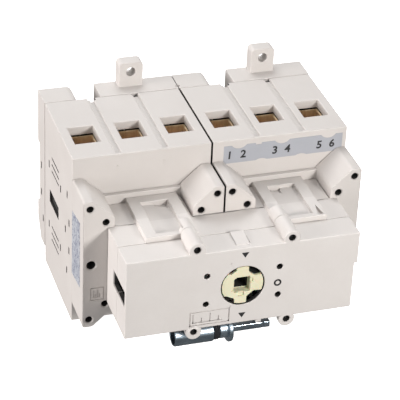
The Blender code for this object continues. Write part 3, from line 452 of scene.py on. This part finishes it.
def piece(bm, name, finish, body, stands_for=()):
    """Makes a shape a piece of the object: shading, a finish, and a body to ride."""
    bmesh.ops.scale(bm, verts=bm.verts, vec=(MM,) * 3)
    for face in bm.faces:
        face.smooth = face.calc_area() < 60 * MM * MM
    for edge in bm.edges:
        edge.smooth = edge.calc_face_angle(0.0) < math.radians(50)
    made = loose_object(bm, name, bpy.context.scene.collection)
    made.data.materials.append(finish.material)
    if any(polygon.material_index for polygon in made.data.polygons):
        made.data.materials.append(PAINTED_SHADE.material)
    flat = made.modifiers.new("flat faces", "WEIGHTED_NORMAL")
    flat.mode = "FACE_AREA"
    flat.weight = 100
    flat.keep_sharp = True
    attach(made, body)
    if stands_for:
        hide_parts(*stands_for)
    return made


def countersunk(x, z, radius, front, back, rim=0.55, sides=32):
    """The cutter of a round hole with a chamfered mouth, with painted shade behind the chamfer."""
    hole = turned([(-1, 0), (-1, radius + rim), (0, radius + rim), (rim, radius),
                   (back - front, radius), (back - front, 0)], sides)
    return [shade_painted(facing_front(hole, x, front, z), front + rim)]


# ---- sizes read from the frame -------------------------------------------------------------
BASE = {side: span(side + "_base") for side in SIDES}
HOUSING = {side: span(side + "_housing") for side in SIDES}
COVER = {side: span(side + "_front_cover") for side in SIDES}
SHELL = span("gearbox_front")
REAR = span("gearbox_rear")
SLEEVE = span("coupling_sleeve")
MIDDLE = {side: (HOUSING[side][0].x + HOUSING[side][1].x) / 2 for side in SIDES}
HALF = (HOUSING["left"][1].x - HOUSING["left"][0].x) / 2
TOP, BOTTOM = HOUSING["left"][1].z, HOUSING["left"][0].z
MID = (TOP + BOTTOM) / 2
HOUSING_FRONT, HOUSING_BACK = HOUSING["left"][0].y, HOUSING["left"][1].y
BASE_FRONT = BASE["left"][0].y
COVER_FRONT, COVER_BACK = COVER["left"][0].y, COVER["left"][1].y
PITCH = (span("left_top_clamp_2")[0] - span("left_top_clamp_1")[0]).x
GROOVES = {side: (MIDDLE[side] - PITCH / 2, MIDDLE[side] + PITCH / 2) for side in SIDES}
BOX_HALF = SHELL[1].x
BOX_FRONT, SHELL_BACK = SHELL[0].y, SHELL[1].y
BOX_SPLIT, BOX_BACK, SHELF_BACK = REAR[0].y, COVER_FRONT - 0.3, REAR[1].y
BOX_TOP = 21.35
BOSS = Vector((23.5, BOX_TOP + 2.0))
COUPLING = (SLEEVE[0] + SLEEVE[1]) / 2
COUPLING_BORE = 3.33
BASE_WIDER = 0.3          # how much further than its housing a base reaches on its inner side
SCREW_BORE = 1.15         # the radius of a screw's threaded hole
DIMPLE = (1.6, 4.0)       # length and height of the small marks on a switch's side


def outer(side, depth):
    """The X range of a cut into a switch's outer side, depth deep."""
    face = MIDDLE[side] + SIDES[side] * HALF
    return sorted((face - SIDES[side] * depth, face + SIDES[side] * 1.0))


def side_cut(side, y, z, length, height, depth):
    """The cutter of a rectangular opening in a switch's outer side, its faces given painted shade.
    """
    x = outer(side, depth)
    return shade_painted(block((x[0], y - length / 2, z - height / 2),
                        (x[1], y + length / 2, z + height / 2)))


# ---- bases and housings --------------------------------------------------------------------
def base(side):
    """A base with its notch, foot recesses, rail ledges and rear pockets."""
    groove, foot = GROOVES[side]
    notch, radius = groove - 5.8, 3.4
    centre = (notch - radius, TOP - radius)
    curve = [(centre[0] + radius * math.sin(step * math.pi / 16),
              centre[1] + radius * math.cos(step * math.pi / 16)) for step in range(9)]
    corner = curve + [(notch + 1, TOP - radius), (notch + 1, TOP + 1), (centre[0], TOP + 1)]
    bm = join(copied(side + "_base"), [
        block((notch - 0.5, BASE_FRONT + 0.4, TOP - 8.5),
              (notch + 3.9, BASE_FRONT + 8, TOP - 3.1)),
        block((MIDDLE[side] - 24, -1.4, MID + 16.6), (MIDDLE[side] - 16, -0.05, MID + 18.2)),
        block((MIDDLE[side] + 16, -1.4, MID + 16.6), (MIDDLE[side] + 24, -0.05, MID + 18.2)),
        block((MIDDLE[side] - 6, -2.6, MID - 18.2), (MIDDLE[side] + 6, -0.05, MID - 15.4))])
    # Painted shade: the foot recess, the two small pockets by the notch, the marks on the outer
    # side and the side facing the other switch take the dark finish that stands in for their
    # shadow.
    cuts = [
        slab(corner, BASE_FRONT - 1, 1),
        shade_painted(block((foot - 1.8, BASE_FRONT - 1, TOP - 4),
                     (foot + 0.6, BASE_FRONT + 1.4, TOP + 1)))]
    small = [shade_painted(block((notch + 2.4, BASE_FRONT - 1, TOP - 5.6),
                          (notch + 3.4, BASE_FRONT + 1.3, TOP - 4.2))),
             shade_painted(block((notch + 11.2, BASE_FRONT + 0.5, TOP - 5.2),
                          (notch + 14.5, BASE_FRONT + 7.5, TOP - 0.9)))]
    for y, z in ((-8.2, 8.0), (-8.2, -8.0), (-11.9, -22.0)):
        small.append(side_cut(side, y, z, *DIMPLE, 1.0))
    small.append(side_cut(side, BASE_FRONT, 22.7, 1.8, 4.2, 1.0))
    for column in (-1, 0, 1):
        x = MIDDLE[side] + column * PITCH
        cuts.append(block((x - 8.5, -2.2, MID + 21.5), (x + 8.5, 1, MID + 31.5)))
        cuts.append(block((x - 8.5, -2.2, MID - 25.0), (x + 8.5, 1, MID - 20.5)))
    inner_seam = MIDDLE[side] - SIDES[side] * (HALF + BASE_WIDER)
    step = sorted((inner_seam - SIDES[side] * 1, inner_seam + SIDES[side] * 1.0))
    small.append(block((step[0], -12.6, TOP - 1.6), (step[1], -11.2, TOP + 1)))
    bm = cut(eased(cut(bm, cuts), 0.3), small)
    paint_gap_shade(bm, side, HALF + BASE_WIDER)
    piece(bm, side + "_base_moulding", GREY, "switch_frame", [side + "_base"])


def housing(side):
    """A housing with the openings in its side, the ends of its pole grooves and small ribs."""
    # Painted shade: the openings in the side and the ends of the pole grooves take the dark finish
    # that stands in for their shadow.
    cuts = [side_cut(side, -34.8, 0.1, 18.8, 7.2, 1.5)]
    for z in (24.4, 20.6, 16.8, -16.0, -20.0, -23.8):
        cuts.append(side_cut(side, -37.1, z, 14.9, 0.95, 1.1))
    for y, z in ((-24.0, 17.8), (-24.0, -17.8), (-48.3, 17.2), (-48.3, -17.2), (-61.6, 22.0),
                 (-61.6, -22.0), (-65.8, 8.0), (-65.8, -8.0), (-58.4, 0.3)):
        cuts.append(side_cut(side, y, z, *DIMPLE, 1.2))
    groove, foot = GROOVES[side]
    for up, face in ((1, TOP), (-1, BOTTOM)):
        low, high = sorted((face - up * 4, face + up))
        cuts.append(shade_painted(block((groove - 0.2, HOUSING_BACK - 2.6, low),
                                 (groove + 2.6, 0, high))))
        cuts.append(shade_painted(block((foot - 2.2, HOUSING_BACK - 2.0, low),
                                 (foot + 1.2, 0, high))))
    cavity = ((MIDDLE[side] - HALF + 1, HOUSING_FRONT + 2, BOTTOM + 4.2),
              (MIDDLE[side] + HALF - 1, HOUSING_BACK + 1, TOP - 4.2))
    bm = cut(eased(copied(side + "_housing"), 0.45, 3, inside=cavity), cuts)
    # Painted shade: the faces of the inner cavity, and then the side facing the other switch, take
    # the dark finish.
    paint_shade_within(bm, *cavity)
    ribs = []
    if side == "left":
        for x in (groove - 0.6, foot - 0.9):
            ribs.append(block((x - 0.4, HOUSING_FRONT - 0.22, TOP - 9),
                              (x + 0.4, HOUSING_FRONT + 1, TOP - 6.4)))
    for x in (groove, foot):
        for low, high in ((TOP - 1.3, TOP - 0.5), (BOTTOM + 0.5, BOTTOM + 1.3)):
            ribs.append(block((x - 1.9, HOUSING_FRONT - 0.2, low),
                              (x + 1.9, HOUSING_FRONT + 1, high)))
    bm = paint_gap_shade(join(bm, ribs), side, HALF)
    piece(bm, side + "_housing_moulding", GREY, "switch_frame", [side + "_housing"])


def numeral(figure, height):
    """The flat shape of a figure, standing on the X axis."""
    curve = bpy.data.curves.new("numeral", "FONT")
    curve.body = figure
    curve.size = height / 0.70
    curve.shear = 0.06
    curve.extrude = 0.05
    curve.offset = 0.16
    curve.resolution_u = 3
    curve.align_x = "CENTER"
    guide = bpy.data.objects.new("numeral", curve)
    bpy.context.scene.collection.objects.link(guide)
    graph = bpy.context.evaluated_depsgraph_get()
    mesh = bpy.data.meshes.new_from_object(guide.evaluated_get(graph))
    bm = bmesh.new()
    bm.from_mesh(mesh)
    bpy.data.meshes.remove(mesh)
    bpy.data.curves.remove(curve)
    bmesh.ops.remove_doubles(bm, verts=bm.verts, dist=0.001)
    return bm


def terminal_label():
    """A scalloped strip on the right housing's front, with the numbers of its terminals."""
    front = HOUSING_FRONT
    low, high = Vector((6.0, front - 0.16, 34.6)), Vector((67.8, front + 0.3, 44.4))
    cuts = [rod(x, high.z + 2.7, 4.7, front - 1, front + 1, 40) for x in (13.9, 36.2, 60.4)]
    cuts += [rod(x, low.z - 4.6, 5.4, front - 1, front + 1, 40) for x in (25.6, 46.3)]
    cuts.append(block((22.4, front - 1, high.z - 0.9), (25.4, front + 1, high.z + 1)))
    piece(cut(block(low, high), cuts), "terminal_label", LABEL, "switch_frame")
    for figure, x in (("1", 8.9), ("2", 16.0), ("3", 32.4), ("4", 39.0), ("5", 55.6), ("6", 62.3)):
        mark = numeral(figure, 4.1)
        mark.transform(Matrix.Translation((x, front - 0.19, 37.2))
                       @ Matrix.Rotation(math.pi / 2, 4, "X"))
        piece(mark, "terminal_number_" + figure, INK, "switch_frame")


def rating_sticker():
    """A silvery printed sheet on the outer side of the left front cover."""
    face = MIDDLE["left"] - HALF
    corners = [(-72.4, 19.4), (-87.2, 21.3), (-88.2, -15.0), (-72.4, -16.4)]
    piece(slab(corners, face - 0.14, face + 0.2, "X"), "rating_sticker", STICKER, "switch_frame")


# ---- front covers --------------------------------------------------------------------------
HORN_HEIGHT = COVER["left"][1].z - MID
HORN = {"top": 5.0, "neck": 19.35, "shoulder": 26.2, "middle": 18.85}
SCREWS = [Vector((HALF - 3.3, HORN_HEIGHT - 4.3)),
          Vector((HORN["neck"] + 4.25, HORN["shoulder"] - 2.8))]
SCREW_DROP = span("left_cover_screw_1")[0].y - COVER_FRONT


def front_cover(side):
    """A front cover: four horns with screw holes round a hollow plate."""
    middle, sign = MIDDLE[side], SIDES[side]
    quarter = [(HALF, HORN_HEIGHT, 1.2), (HALF - HORN["top"], HORN_HEIGHT, 3.0),
               (HORN["neck"], HORN["shoulder"], 3.0), (HORN["neck"], HORN["middle"], 0)]
    upper = quarter + [(-x, y, r) for x, y, r in reversed(quarter)]
    lower = [(-x, -y, r) for x, y, r in upper]
    outline = [(middle + x, MID + y) for x, y in rounded(upper + lower, 7)]
    bm = slab(outline, COVER_FRONT, COVER_BACK)
    edge = [e for e in bm.edges if all(
        abs(v.co.x - middle - sign * HALF) < 0.01 and abs(v.co.y - COVER_FRONT) < 0.01
        for v in e.verts)]
    bmesh.ops.bevel(bm, geom=edge, offset=2.8, offset_type="OFFSET", segments=8, profile=0.5,
                    affect="EDGES", material=-1, clamp_overlap=False)
    neck, shoulder = HORN["neck"], HORN["shoulder"]
    bm = join(bm, [block((middle - neck - 1, COVER_BACK - 2.4, MID - shoulder + 0.5),
                         (middle + neck + 1, COVER_BACK, MID + shoulder - 0.5))])
    pocket = Vector((neck - 2.4, HORN["middle"] - 3.8))
    cuts = [block((middle - pocket.x, COVER_FRONT + 2, MID - pocket.y),
                  (middle + pocket.x, COVER_BACK + 1, MID + pocket.y)),
            rod(middle, 0, 3.5, COVER_FRONT - 1, COVER_FRONT + 3)]
    bm = eased(cut(bm, cuts), 0.3)
    # Painted shade: the side opening, the screw and side holes behind their mouths and the side
    # facing the other switch take the dark finish that stands in for their shadow.
    cuts = [side_cut(side, -85.6, 4.0, 1.4, 4.0, 0.9)]
    for at in SCREWS:
        for across in (1, -1):
            for up in (1, -1):
                x, z = middle + across * at.x, MID + up * at.y
                cuts += countersunk(x, z, 1.7, COVER_FRONT, COVER_FRONT + SCREW_DROP + 1.2)
                cuts.append(rod(x, z, SCREW_BORE, COVER_FRONT + SCREW_DROP, COVER_BACK + 1, 16))
    for across in (1, -1):
        cuts += countersunk(middle + across * (HALF - 4), MID, 2.25, COVER_FRONT,
                            COVER_FRONT + 8)
    if side == "left":
        cuts += engraved_frame(-66.3, -59.4, -20.0, -12.4, COVER_FRONT)
    bm = paint_gap_shade(cut(bm, cuts), side, HALF)
    piece(bm, side + "_front_cover_moulding", GREY, "switch_frame", [side + "_front_cover"])


def engraved_frame(left, right, low, high, front, line=0.5, depth=0.5):
    """Cutters of a thin rectangular line round a small generic figure of bars."""
    inset = 1.5
    figure = [(left, low, right, low + line), (left, high - line, right, high),
              (left, low, left + line, high), (right - line, low, right, high)]
    width = (right - left - 2 * inset) / 4
    for index in range(4):
        x = left + inset + index * width
        tall = 0.55 if index % 2 else 1.0
        figure.append((x, low + inset, x + line,
                       low + inset + (high - low - 2 * inset) * tall))
    figure.append((left + inset, low + inset, right - inset - width / 2, low + inset + line))
    return [block((a, front - 1, b), (c, front + depth, d)) for a, b, c, d in figure]


# ---- gearbox -------------------------------------------------------------------------------
def side_slot_cuts(low, high):
    """The slot in each end of the gearbox, with painted shade behind its mouth."""
    cuts = []
    for sign in (-1, 1):
        # dark marks the inner part of each slot, which takes the painted shade.
        for near, far, dark in ((1.0, -0.8, False), (-0.7, -4.0, True)):
            x = sorted((sign * (BOX_HALF + near), sign * (BOX_HALF + far)))
            cuts.append(block((x[0], low, -4.35), (x[1], high, 4.35)))
            if dark:
                shade_painted(cuts[-1])
    return cuts


def gearbox_front():
    """The front shell: bosses, hub opening, screw holes, side slots and its printed marks."""
    bm = block((-BOX_HALF, BOX_FRONT, -BOX_TOP), (BOX_HALF, SHELL_BACK, BOX_TOP))
    add = []
    for x in (-BOSS.x, BOSS.x):
        add.append(rod(x, BOSS.y, 4.0, BOX_FRONT, SHELL_BACK, 48))
        add.append(rod(x, -BOSS.y, 4.0, BOX_FRONT, BOX_FRONT + 3.8, 48))
    add.append(slab([(SHELL_BACK - 11.9, BOX_TOP - 1), (SHELL_BACK - 1.3, BOX_TOP - 1),
                     (SHELL_BACK - 1.3, BOX_TOP + 1.3), (SHELL_BACK - 11.9, BOX_TOP + 0.4)],
                    -3.5, 3.5, "X"))
    for x, reach in ((-18.5, 5.7), (12.0, 1.7)):
        add.append(block((x - 1.5, COUPLING.y - 2.5, COUPLING.z + reach + 0.3),
                         (x + 1.5, COUPLING.y + 2.5, -BOX_TOP + 0.3)))
    bm = join(bm, add)
    # Painted shade: the shell's hollow inside, the back of its end slots and its holes beyond
    # their mouths take the dark finish that stands in for their shadow.
    inner = (BOX_HALF - 3.0, BOX_TOP - 1.6)
    cuts = [shade_painted(block((-inner[0], BOX_FRONT + 2.5, -inner[1]),
                         (inner[0], SHELL_BACK + 1, inner[1])))]
    cuts += side_slot_cuts(BOX_FRONT + 1.5, SHELL_BACK + 1)
    cuts.append(block((BOX_HALF - 1.6, BOX_FRONT - 1, -BOX_TOP - 1),
                      (BOX_HALF + 1, BOX_FRONT + 5, 4.0)))
    bm = eased(cut(bm, cuts), 0.45, 3)
    cuts = countersunk(0, 0, 10.94, BOX_FRONT, BOX_FRONT + 4, 0.3, 96)
    for x in (-18.1, 18.1):
        for z in (-8.0, 8.0):
            cuts += countersunk(x, z, 1.5, BOX_FRONT, BOX_FRONT + 4, 0.3)
    for x in (-BOSS.x, BOSS.x):
        cuts += countersunk(x, BOSS.y, 1.7, BOX_FRONT, SHELL_BACK + 1, 0.45)
        cuts += countersunk(x, -BOSS.y, 1.7, BOX_FRONT, BOX_FRONT + 4.8, 0.45)
    cuts += engraved_frame(-26.0, -6.0, -19.6, -11.6, BOX_FRONT)
    cuts.append(rod(-6.6, 13.6, 0.5, BOX_FRONT - 1, BOX_FRONT + 0.25, 16))
    piece(cut(bm, cuts), "gearbox_front_shell", GREY, "switch_frame", ["gearbox_front"])
    for name, z in (("upper_pointer", 17.4), ("lower_pointer", -17.0)):
        mark = slab([(-1.55, z + 1.4), (2.15, z + 1.4), (0.3, z - 1.5)],
                    BOX_FRONT - 0.03, BOX_FRONT + 0.2)
        piece(mark, name, INK, "switch_frame")
    ring = turned([(-0.03, 1.00), (-0.03, 1.95), (0.2, 1.95), (0.2, 1.00)], 40)
    piece(facing_front(ring, 17.5, BOX_FRONT, -1.0), "off_mark", INK, "switch_frame")


PADS = {"left": -35.25 + 3.9, "right": 35.25 - 1.8}


def pad_cuts(side):
    """The recess of a pad, with its hook opening and the notch in its rim."""
    x = PADS[side]
    back = SHELF_BACK - 5.5
    hook = {"left": (-31.0, -25.4), "right": (28.3, 32.7)}[side]
    notch = {"left": (-24.8, -21.6), "right": (42.3, 45.2)}[side]
    cuts = [block((x - 6.9, back - 28.3, BOX_TOP + 0.6), (x + 6.9, back, BOX_TOP + 5)),
            slab([(hook[0], back - 0.2), (hook[0] + 1.2, back - 2.6), (hook[1], back - 4.6),
                  (hook[1], back - 1.6)], BOX_TOP - 0.4, BOX_TOP + 1, "Z"),
            block((hook[0] - 0.6, back - 1.8, BOX_TOP - 0.3),
                  (hook[1] + 0.4, back + 0.02, BOX_TOP + 1))]
    front = -110.6 if side == "right" else -107.6
    cuts.append(slab([(notch[0] + 1.5, front + 9.5), (notch[1], front + 0.6),
                      (notch[0], front + 0.6)], BOX_TOP + 0.9, BOX_TOP + 5, "Z"))
    return cuts


def gearbox_rear():
    """The rear shell: shelves between the horns, raised pads, screw bosses and shaft holes."""
    bm = block((-BOX_HALF, BOX_SPLIT, -BOX_TOP), (BOX_HALF, BOX_BACK, BOX_TOP))
    add = []
    for side in SIDES:
        middle, reach = MIDDLE[side], HORN["neck"] - 0.3
        for bottom, top in ((BOX_TOP - 1.6, BOX_TOP), (-BOX_TOP, -BOX_TOP + 1.6)):
            add.append(block((middle - reach, BOX_BACK - 1, bottom),
                             (middle + reach, SHELF_BACK, top)))
        x = PADS[side]
        add.append(block((x - 12.85, BOX_SPLIT, BOX_TOP - 1),
                         (x + 12.85, SHELF_BACK, BOX_TOP + 2.6)))
    for x in (-BOSS.x, BOSS.x):
        for z in (BOSS.y, -BOSS.y):
            add.append(rod(x, z, 3.85, BOX_SPLIT, BOX_SPLIT + 9, 48))
    bm = join(bm, add)
    # Painted shade: the shell's hollow inside and the back of its end slots take the dark finish
    # that stands in for their shadow.
    cuts = [shade_painted(block((-BOX_HALF + 3, BOX_SPLIT - 1, -BOX_TOP + 1.6),
                         (BOX_HALF - 3, BOX_BACK - 2, BOX_TOP - 1.6)))]
    cuts += side_slot_cuts(BOX_SPLIT - 1, BOX_FRONT + 21.7)
    cuts += [pad_cuts(side)[0] for side in SIDES]
    bm = eased(cut(bm, cuts), 0.28)
    cuts = []
    for side in SIDES:
        cuts += pad_cuts(side)[1:]
        cuts.append(rod(MIDDLE[side], 0, 3.5, BOX_BACK - 3, BOX_BACK + 1))
    cuts.append(rod(0, 0, 4.3, BOX_BACK - 3, BOX_BACK + 1))
    for x in (-BOSS.x, BOSS.x):
        for z in (BOSS.y, -BOSS.y):
            cuts.append(rod(x, z, SCREW_BORE, BOX_SPLIT - 1, BOX_SPLIT + 8, 16))
    piece(cut(bm, cuts), "gearbox_rear_shell", GREY, "switch_frame", ["gearbox_rear"])


# ---- hub -----------------------------------------------------------------------------------
def arc(radius, start, end, steps=10):
    """Points of an arc about the hub's axis, from one angle to another in degrees."""
    turns = [math.radians(start + (end - start) * step / steps) for step in range(steps + 1)]
    return [(radius * math.cos(turn), radius * math.sin(turn)) for turn in turns]


def hub_corners():
    """The hub's outline: four lobes of unequal width, with wide gaps only on the right."""
    return [*arc(10.4, -23.8, 28.7), (6.0, 4.6), (3.0, 7.0), (2.8, 7.6),
            *arc(10.4, 74.4, 109.1, 6), (-3.5, 8.2), (-6.4, 6.6), *arc(10.4, 136, 211),
            (-7.9, -5.4), (-4.3, -7.1), (-3.8, -7.9), *arc(10.4, 248.6, 282.8, 6), (2.3, -7.0),
            (3.0, -6.2), (5.8, -3.9)]


def drive_hub():
    """The cream hub: lobed head, square socket with stepped lead-ins, and a long stem."""
    low, high = span("drive_hub")
    front = low.y
    # Painted shade: the lobed head is dark behind its first 1.4 mm, so the gaps between the lobes
    # look shadowed.
    bm = join(slab(hub_corners(), front, front + 1.4), [
        shade_painted(slab(hub_corners(), front + 1.4, front + 8.0)),
        rod(0, 0, 7.19, front + 7, BOX_BACK - 2.3, 8, turn=math.pi / 8),
        rod(0, 0, 4.0, BOX_BACK - 3.3, high.y, 48)])
    # Painted shade: the socket is dark beyond its first 4 mm.
    socket = [block((-4, front - 1, -4), (4, front + 4.5, 4)),
              shade_painted(block((-3.95, front + 4, -3.95), (3.95, front + 15, 3.95)))]
    bm = eased(cut(bm, socket), 0.22, least=50)
    cuts = [block((-5.6, front - 1, -3.0), (-3.0, front + 1.1, 3.6)),
            block((-3.2, front - 1, 3.4), (3.4, front + 0.9, 4.9)),
            block((3.6, front - 1, 1.2), (5.4, front + 1.0, 3.4)),
            block((-2.2, front - 1, -6.2), (0.9, front + 0.9, -3.6))]
    piece(cut(bm, cuts), "drive_hub_moulding", CREAM, "hub", ["drive_hub"])


# ---- stored coupling -----------------------------------------------------------------------
def on_coupling(bm):
    """Moves a shape made about the X axis to the coupling's axis."""
    bm.transform(Matrix.Translation((0, COUPLING.y, COUPLING.z)))
    return bm


def stored_coupling():
    """The sleeve, ribbed ring, flanged bush and grooved bar below the gearbox."""
    bore = COUPLING_BORE
    start, end = SLEEVE[0].x, SLEEVE[1].x
    sleeve = turned([(end, bore), (end, 5.3), (end - 0.4, 5.7), (start + 0.5, 5.7),
                     (start, 5.35), (start, 4.9), (start + 0.4, 4.6), (end - 2.0, 4.6),
                     (end - 2.0, bore)], 96)
    piece(on_coupling(sleeve), "coupling_sleeve_turned", ZINC, "switch_frame",
          ["coupling_sleeve"])
    low, high = span("coupling_ring")
    ribs = [(high.x, bore), (high.x, 4.9)]
    for index in range(6):
        x = high.x - (high.x - low.x) * (index + 0.5) / 6
        ribs.append((x, 5.2 if index % 2 else 4.7))
    ribs += [(low.x, 4.9), (low.x, bore)]
    piece(on_coupling(turned(ribs, 72)), "coupling_ring_turned", RUBBER, "switch_frame",
          ["coupling_ring"])
    low, high = span("coupling_bush")
    bush = turned([(high.x, bore), (high.x, 6.8), (high.x - 0.3, 7.1), (high.x - 1.7, 7.1),
                   (high.x - 2.0, 6.8), (high.x - 2.0, 4.9), (low.x + 0.3, 4.9), (low.x, 4.6),
                   (low.x, bore)], 96)
    piece(on_coupling(bush), "coupling_bush_turned", ZINC, "switch_frame", ["coupling_bush"])
    low, high = span("coupling_bar")
    bar = block(low, high, 0.45, 3)
    groove = [(high.x - 4.2, low.y - 1), (high.x - 3.0, low.y - 1),
              (high.x - 3.0, low.y + 0.5), (high.x - 4.2, low.y + 0.5)]
    bar = cut(bar, [slab(groove, low.z - 1, high.z + 1, "Z")])
    piece(bar, "coupling_bar_drawn", ZINC, "switch_frame", ["coupling_bar"])


# ---- clamps and screws ---------------------------------------------------------------------
def terminal_clamp(name):
    """A box clamp: folded cage with a grooved rear wall, and its threaded screw."""
    low, high = span(name)
    x, wall = (low.x + high.x) / 2, 1.2
    bm = cut(block(low, high, 0.5, 2), [
        block((low.x + wall, low.y + wall, low.z - 1),
              (high.x - wall, high.y - wall, high.z + 1))])
    grooves = [block((x + at - 0.35, high.y - 1.5, low.z - 1),
                     (x + at + 0.35, high.y - 0.8, high.z + 1)) for at in (-3.4, -1.9, -0.4)]
    grooves.append(block((x - 0.25, low.y - 1, low.z + 1), (x + 0.25, low.y + 1.3, high.z - 1)))
    piece(cut(eased(bm, 0.15, least=60), grooves), name + "_cage", BRASS, "switch_frame", [name])
    middle = (low.z + high.z) / 2
    thread = [(0.0, 0.0), (0.0, 2.0)]
    for turn in range(9):
        thread += [(0.3 + turn * 0.7, 2.35), (0.65 + turn * 0.7, 2.0)]
    thread += [(6.9, 2.0), (6.9, 0.0)]
    piece(facing_front(turned(thread, 28), x, low.y + 1.3, middle), name + "_screw", STEEL,
          "switch_frame")


def cross_screw(name, x, z, head, reach, stands_for=()):
    """A pan-headed screw along Y with a cross recess and a threaded shank."""
    profile = [(0.0, 0.0), (0.0, 1.05), (0.12, 1.25), (0.35, 1.38), (0.9, 1.38), (0.9, 0.85)]
    length = reach - head
    count = int((length - 1.6) / 0.55)
    for turn in range(count):
        profile += [(1.15 + turn * 0.55, 0.85), (1.40 + turn * 0.55, 0.66)]
    profile += [(length - 0.2, 0.66), (length, 0.3), (length, 0.0)]
    bm = cut(facing_front(turned(profile, 24), x, head, z), [
        block((x - 0.85, head - 1, z - 0.17), (x + 0.85, head + 0.55, z + 0.17)),
        block((x - 0.17, head - 1, z - 0.85), (x + 0.17, head + 0.55, z + 0.85))])
    piece(bm, name, STEEL, "switch_frame", stands_for)


def cover_and_gearbox_screws():
    """The screws that are CAD nodes, then the four more of each cover."""
    names = [f"{side}_cover_screw_{index}" for side in SIDES for index in range(1, 5)]
    names += [f"gearbox_screw_{index}" for index in range(1, 5)]
    for name in names:
        low, high = span(name)
        cross_screw(name + "_turned", (low.x + high.x) / 2, (low.z + high.z) / 2, low.y, high.y,
                    [name])
    low, high = span("left_cover_screw_1")
    for side in SIDES:
        places = [(across, up) for across in (1, -1) for up in (1, -1)]
        for index, (across, up) in enumerate(places, start=5):
            cross_screw(f"{side}_cover_screw_{index}", MIDDLE[side] + across * SCREWS[1].x,
                        MID + up * SCREWS[1].y, low.y, high.y)


# ---- the CAD nodes that stay ---------------------------------------------------------------
def finish_inner_works():
    """Gives the mechanism's CAD nodes their finishes, by the words in their names."""
    kinds = (("contact_carrier", NYLON), ("gear_shaft", NYLON), ("hub_gear", NYLON),
             ("moving_contact", COPPER), ("top_contact", COPPER), ("bottom_contact", COPPER))
    for name, node in frame["nodes"].items():
        for word, finish in kinds:
            if word in name:
                node.material_slots[0].material = finish.material


# ---- the object ----------------------------------------------------------------------------
for switch in SIDES:
    base(switch)
    housing(switch)
    front_cover(switch)
    for pole in (1, 2, 3):
        terminal_clamp(f"{switch}_top_clamp_{pole}")
        terminal_clamp(f"{switch}_bottom_clamp_{pole}")
terminal_label()
rating_sticker()
gearbox_front()
gearbox_rear()
drive_hub()
stored_coupling()
cover_and_gearbox_screws()
finish_inner_works()


# ---- studio --------------------------------------------------------------------------------
def area_light(name, place, target, size, power, colour):
    """A square light at a place, aimed at a target."""
    lamp = bpy.data.lights.new(name, "AREA")
    lamp.shape = "SQUARE"
    lamp.size = size
    lamp.energy = power
    lamp.color = colour
    made = bpy.data.objects.new(name, lamp)
    bpy.context.scene.collection.objects.link(made)
    made.location = place
    made.rotation_euler = (Vector(target) - Vector(place)).to_track_quat("-Z", "Y").to_euler()


def floor():
    """A pale round floor under the object, lit a little from itself so that it stays plain."""
    bm = bmesh.new()
    bmesh.ops.create_circle(bm, cap_ends=True, segments=64, radius=4.0)
    bmesh.ops.translate(bm, verts=bm.verts, vec=(0, 0, CAD_BOX[0][2]))
    made = loose_object(bm, "floor", bpy.context.scene.collection)
    finish = Finish("pale_floor", None, Roughness=0.9, Emission_Strength=0.80)
    paper = finish.noise(6, 2)
    finish.feed("Base Color", finish.blend(paper, (0.86, 0.86, 0.86), (0.90, 0.90, 0.90)))
    finish.feed("Emission Color", finish.blend(paper, (0.97, 0.97, 0.97), (1.0, 1.0, 1.0)))
    made.data.materials.append(finish.material)
    made.visible_diffuse = False
    made.visible_glossy = False


def darken_reflections(tree, sky):
    """Lets shiny metal see a dark studio below and a bright one above."""
    coordinates = tree.nodes.new("ShaderNodeTexCoord")
    height = tree.nodes.new("ShaderNodeSeparateXYZ")
    tree.links.new(coordinates.outputs["Generated"], height.inputs["Vector"])
    shade = tree.nodes.new("ShaderNodeMapRange")
    for socket, value in (("From Min", -0.2), ("From Max", 0.35), ("To Min", 0.22),
                          ("To Max", 1.3)):
        shade.inputs[socket].default_value = value
    tree.links.new(height.outputs["Z"], shade.inputs["Value"])
    seen = tree.nodes.new("ShaderNodeBackground")
    tree.links.new(shade.outputs["Result"], seen.inputs["Strength"])
    ray = tree.nodes.new("ShaderNodeLightPath")
    either = tree.nodes.new("ShaderNodeMixShader")
    tree.links.new(ray.outputs["Is Glossy Ray"], either.inputs["Fac"])
    tree.links.new(sky.outputs["Background"], either.inputs[1])
    tree.links.new(seen.outputs["Background"], either.inputs[2])
    tree.links.new(either.outputs["Shader"], tree.nodes["World Output"].inputs["Surface"])


def studio():
    """The world, three soft lights and the view transform."""
    world = bpy.data.worlds.new("studio")
    world.use_nodes = True
    sky = world.node_tree.nodes["Background"]
    sky.inputs["Color"].default_value = (1.0, 1.0, 1.0, 1.0)
    sky.inputs["Strength"].default_value = 0.35
    darken_reflections(world.node_tree, sky)
    bpy.context.scene.world = world
    target = (0, -0.07, 0)
    area_light("key", (0.20, -0.67, 0.22), target, 0.11, 3.3, (1.0, 0.985, 0.965))
    area_light("left_fill", (-1.05, -0.16, 0.20), target, 0.5, 12.0, (1.0, 0.970, 0.960))
    area_light("top", (0.0, 0.20, 0.50), (0, -0.03, 0), 0.3, 1.75, (0.975, 0.985, 1.0))
    bpy.context.scene.view_settings.view_transform = "Standard"


def camera():
    """Looks down from the front left, with a long lens."""
    azimuth, elevation, roll = (math.radians(a) for a in (-18.62, 31.69, 2.76))
    back = Vector((math.sin(azimuth) * math.cos(elevation),
                   -math.cos(azimuth) * math.cos(elevation), math.sin(elevation)))
    right = (-back).cross(Vector((0, 0, 1))).normalized()
    up = right.cross(-back)
    across = right * math.cos(roll) + up * math.sin(roll)
    rise = up * math.cos(roll) - right * math.sin(roll)
    aim = Vector((0, -76.3, 31.0))
    place = (aim - across * 6.93 - rise * 11.28 + back * 936.9) * MM
    lens = bpy.data.cameras.new("camera")
    lens.sensor_width = 36.0
    lens.lens = 1921 * 36.0 / 400
    lens.clip_start = 0.01
    made = bpy.data.objects.new("camera", lens)
    bpy.context.scene.collection.objects.link(made)
    turn = Matrix((across, rise, back)).transposed().to_4x4()
    made.matrix_world = Matrix.Translation(place) @ turn
    bpy.context.scene.camera = made


floor()
studio()
camera()
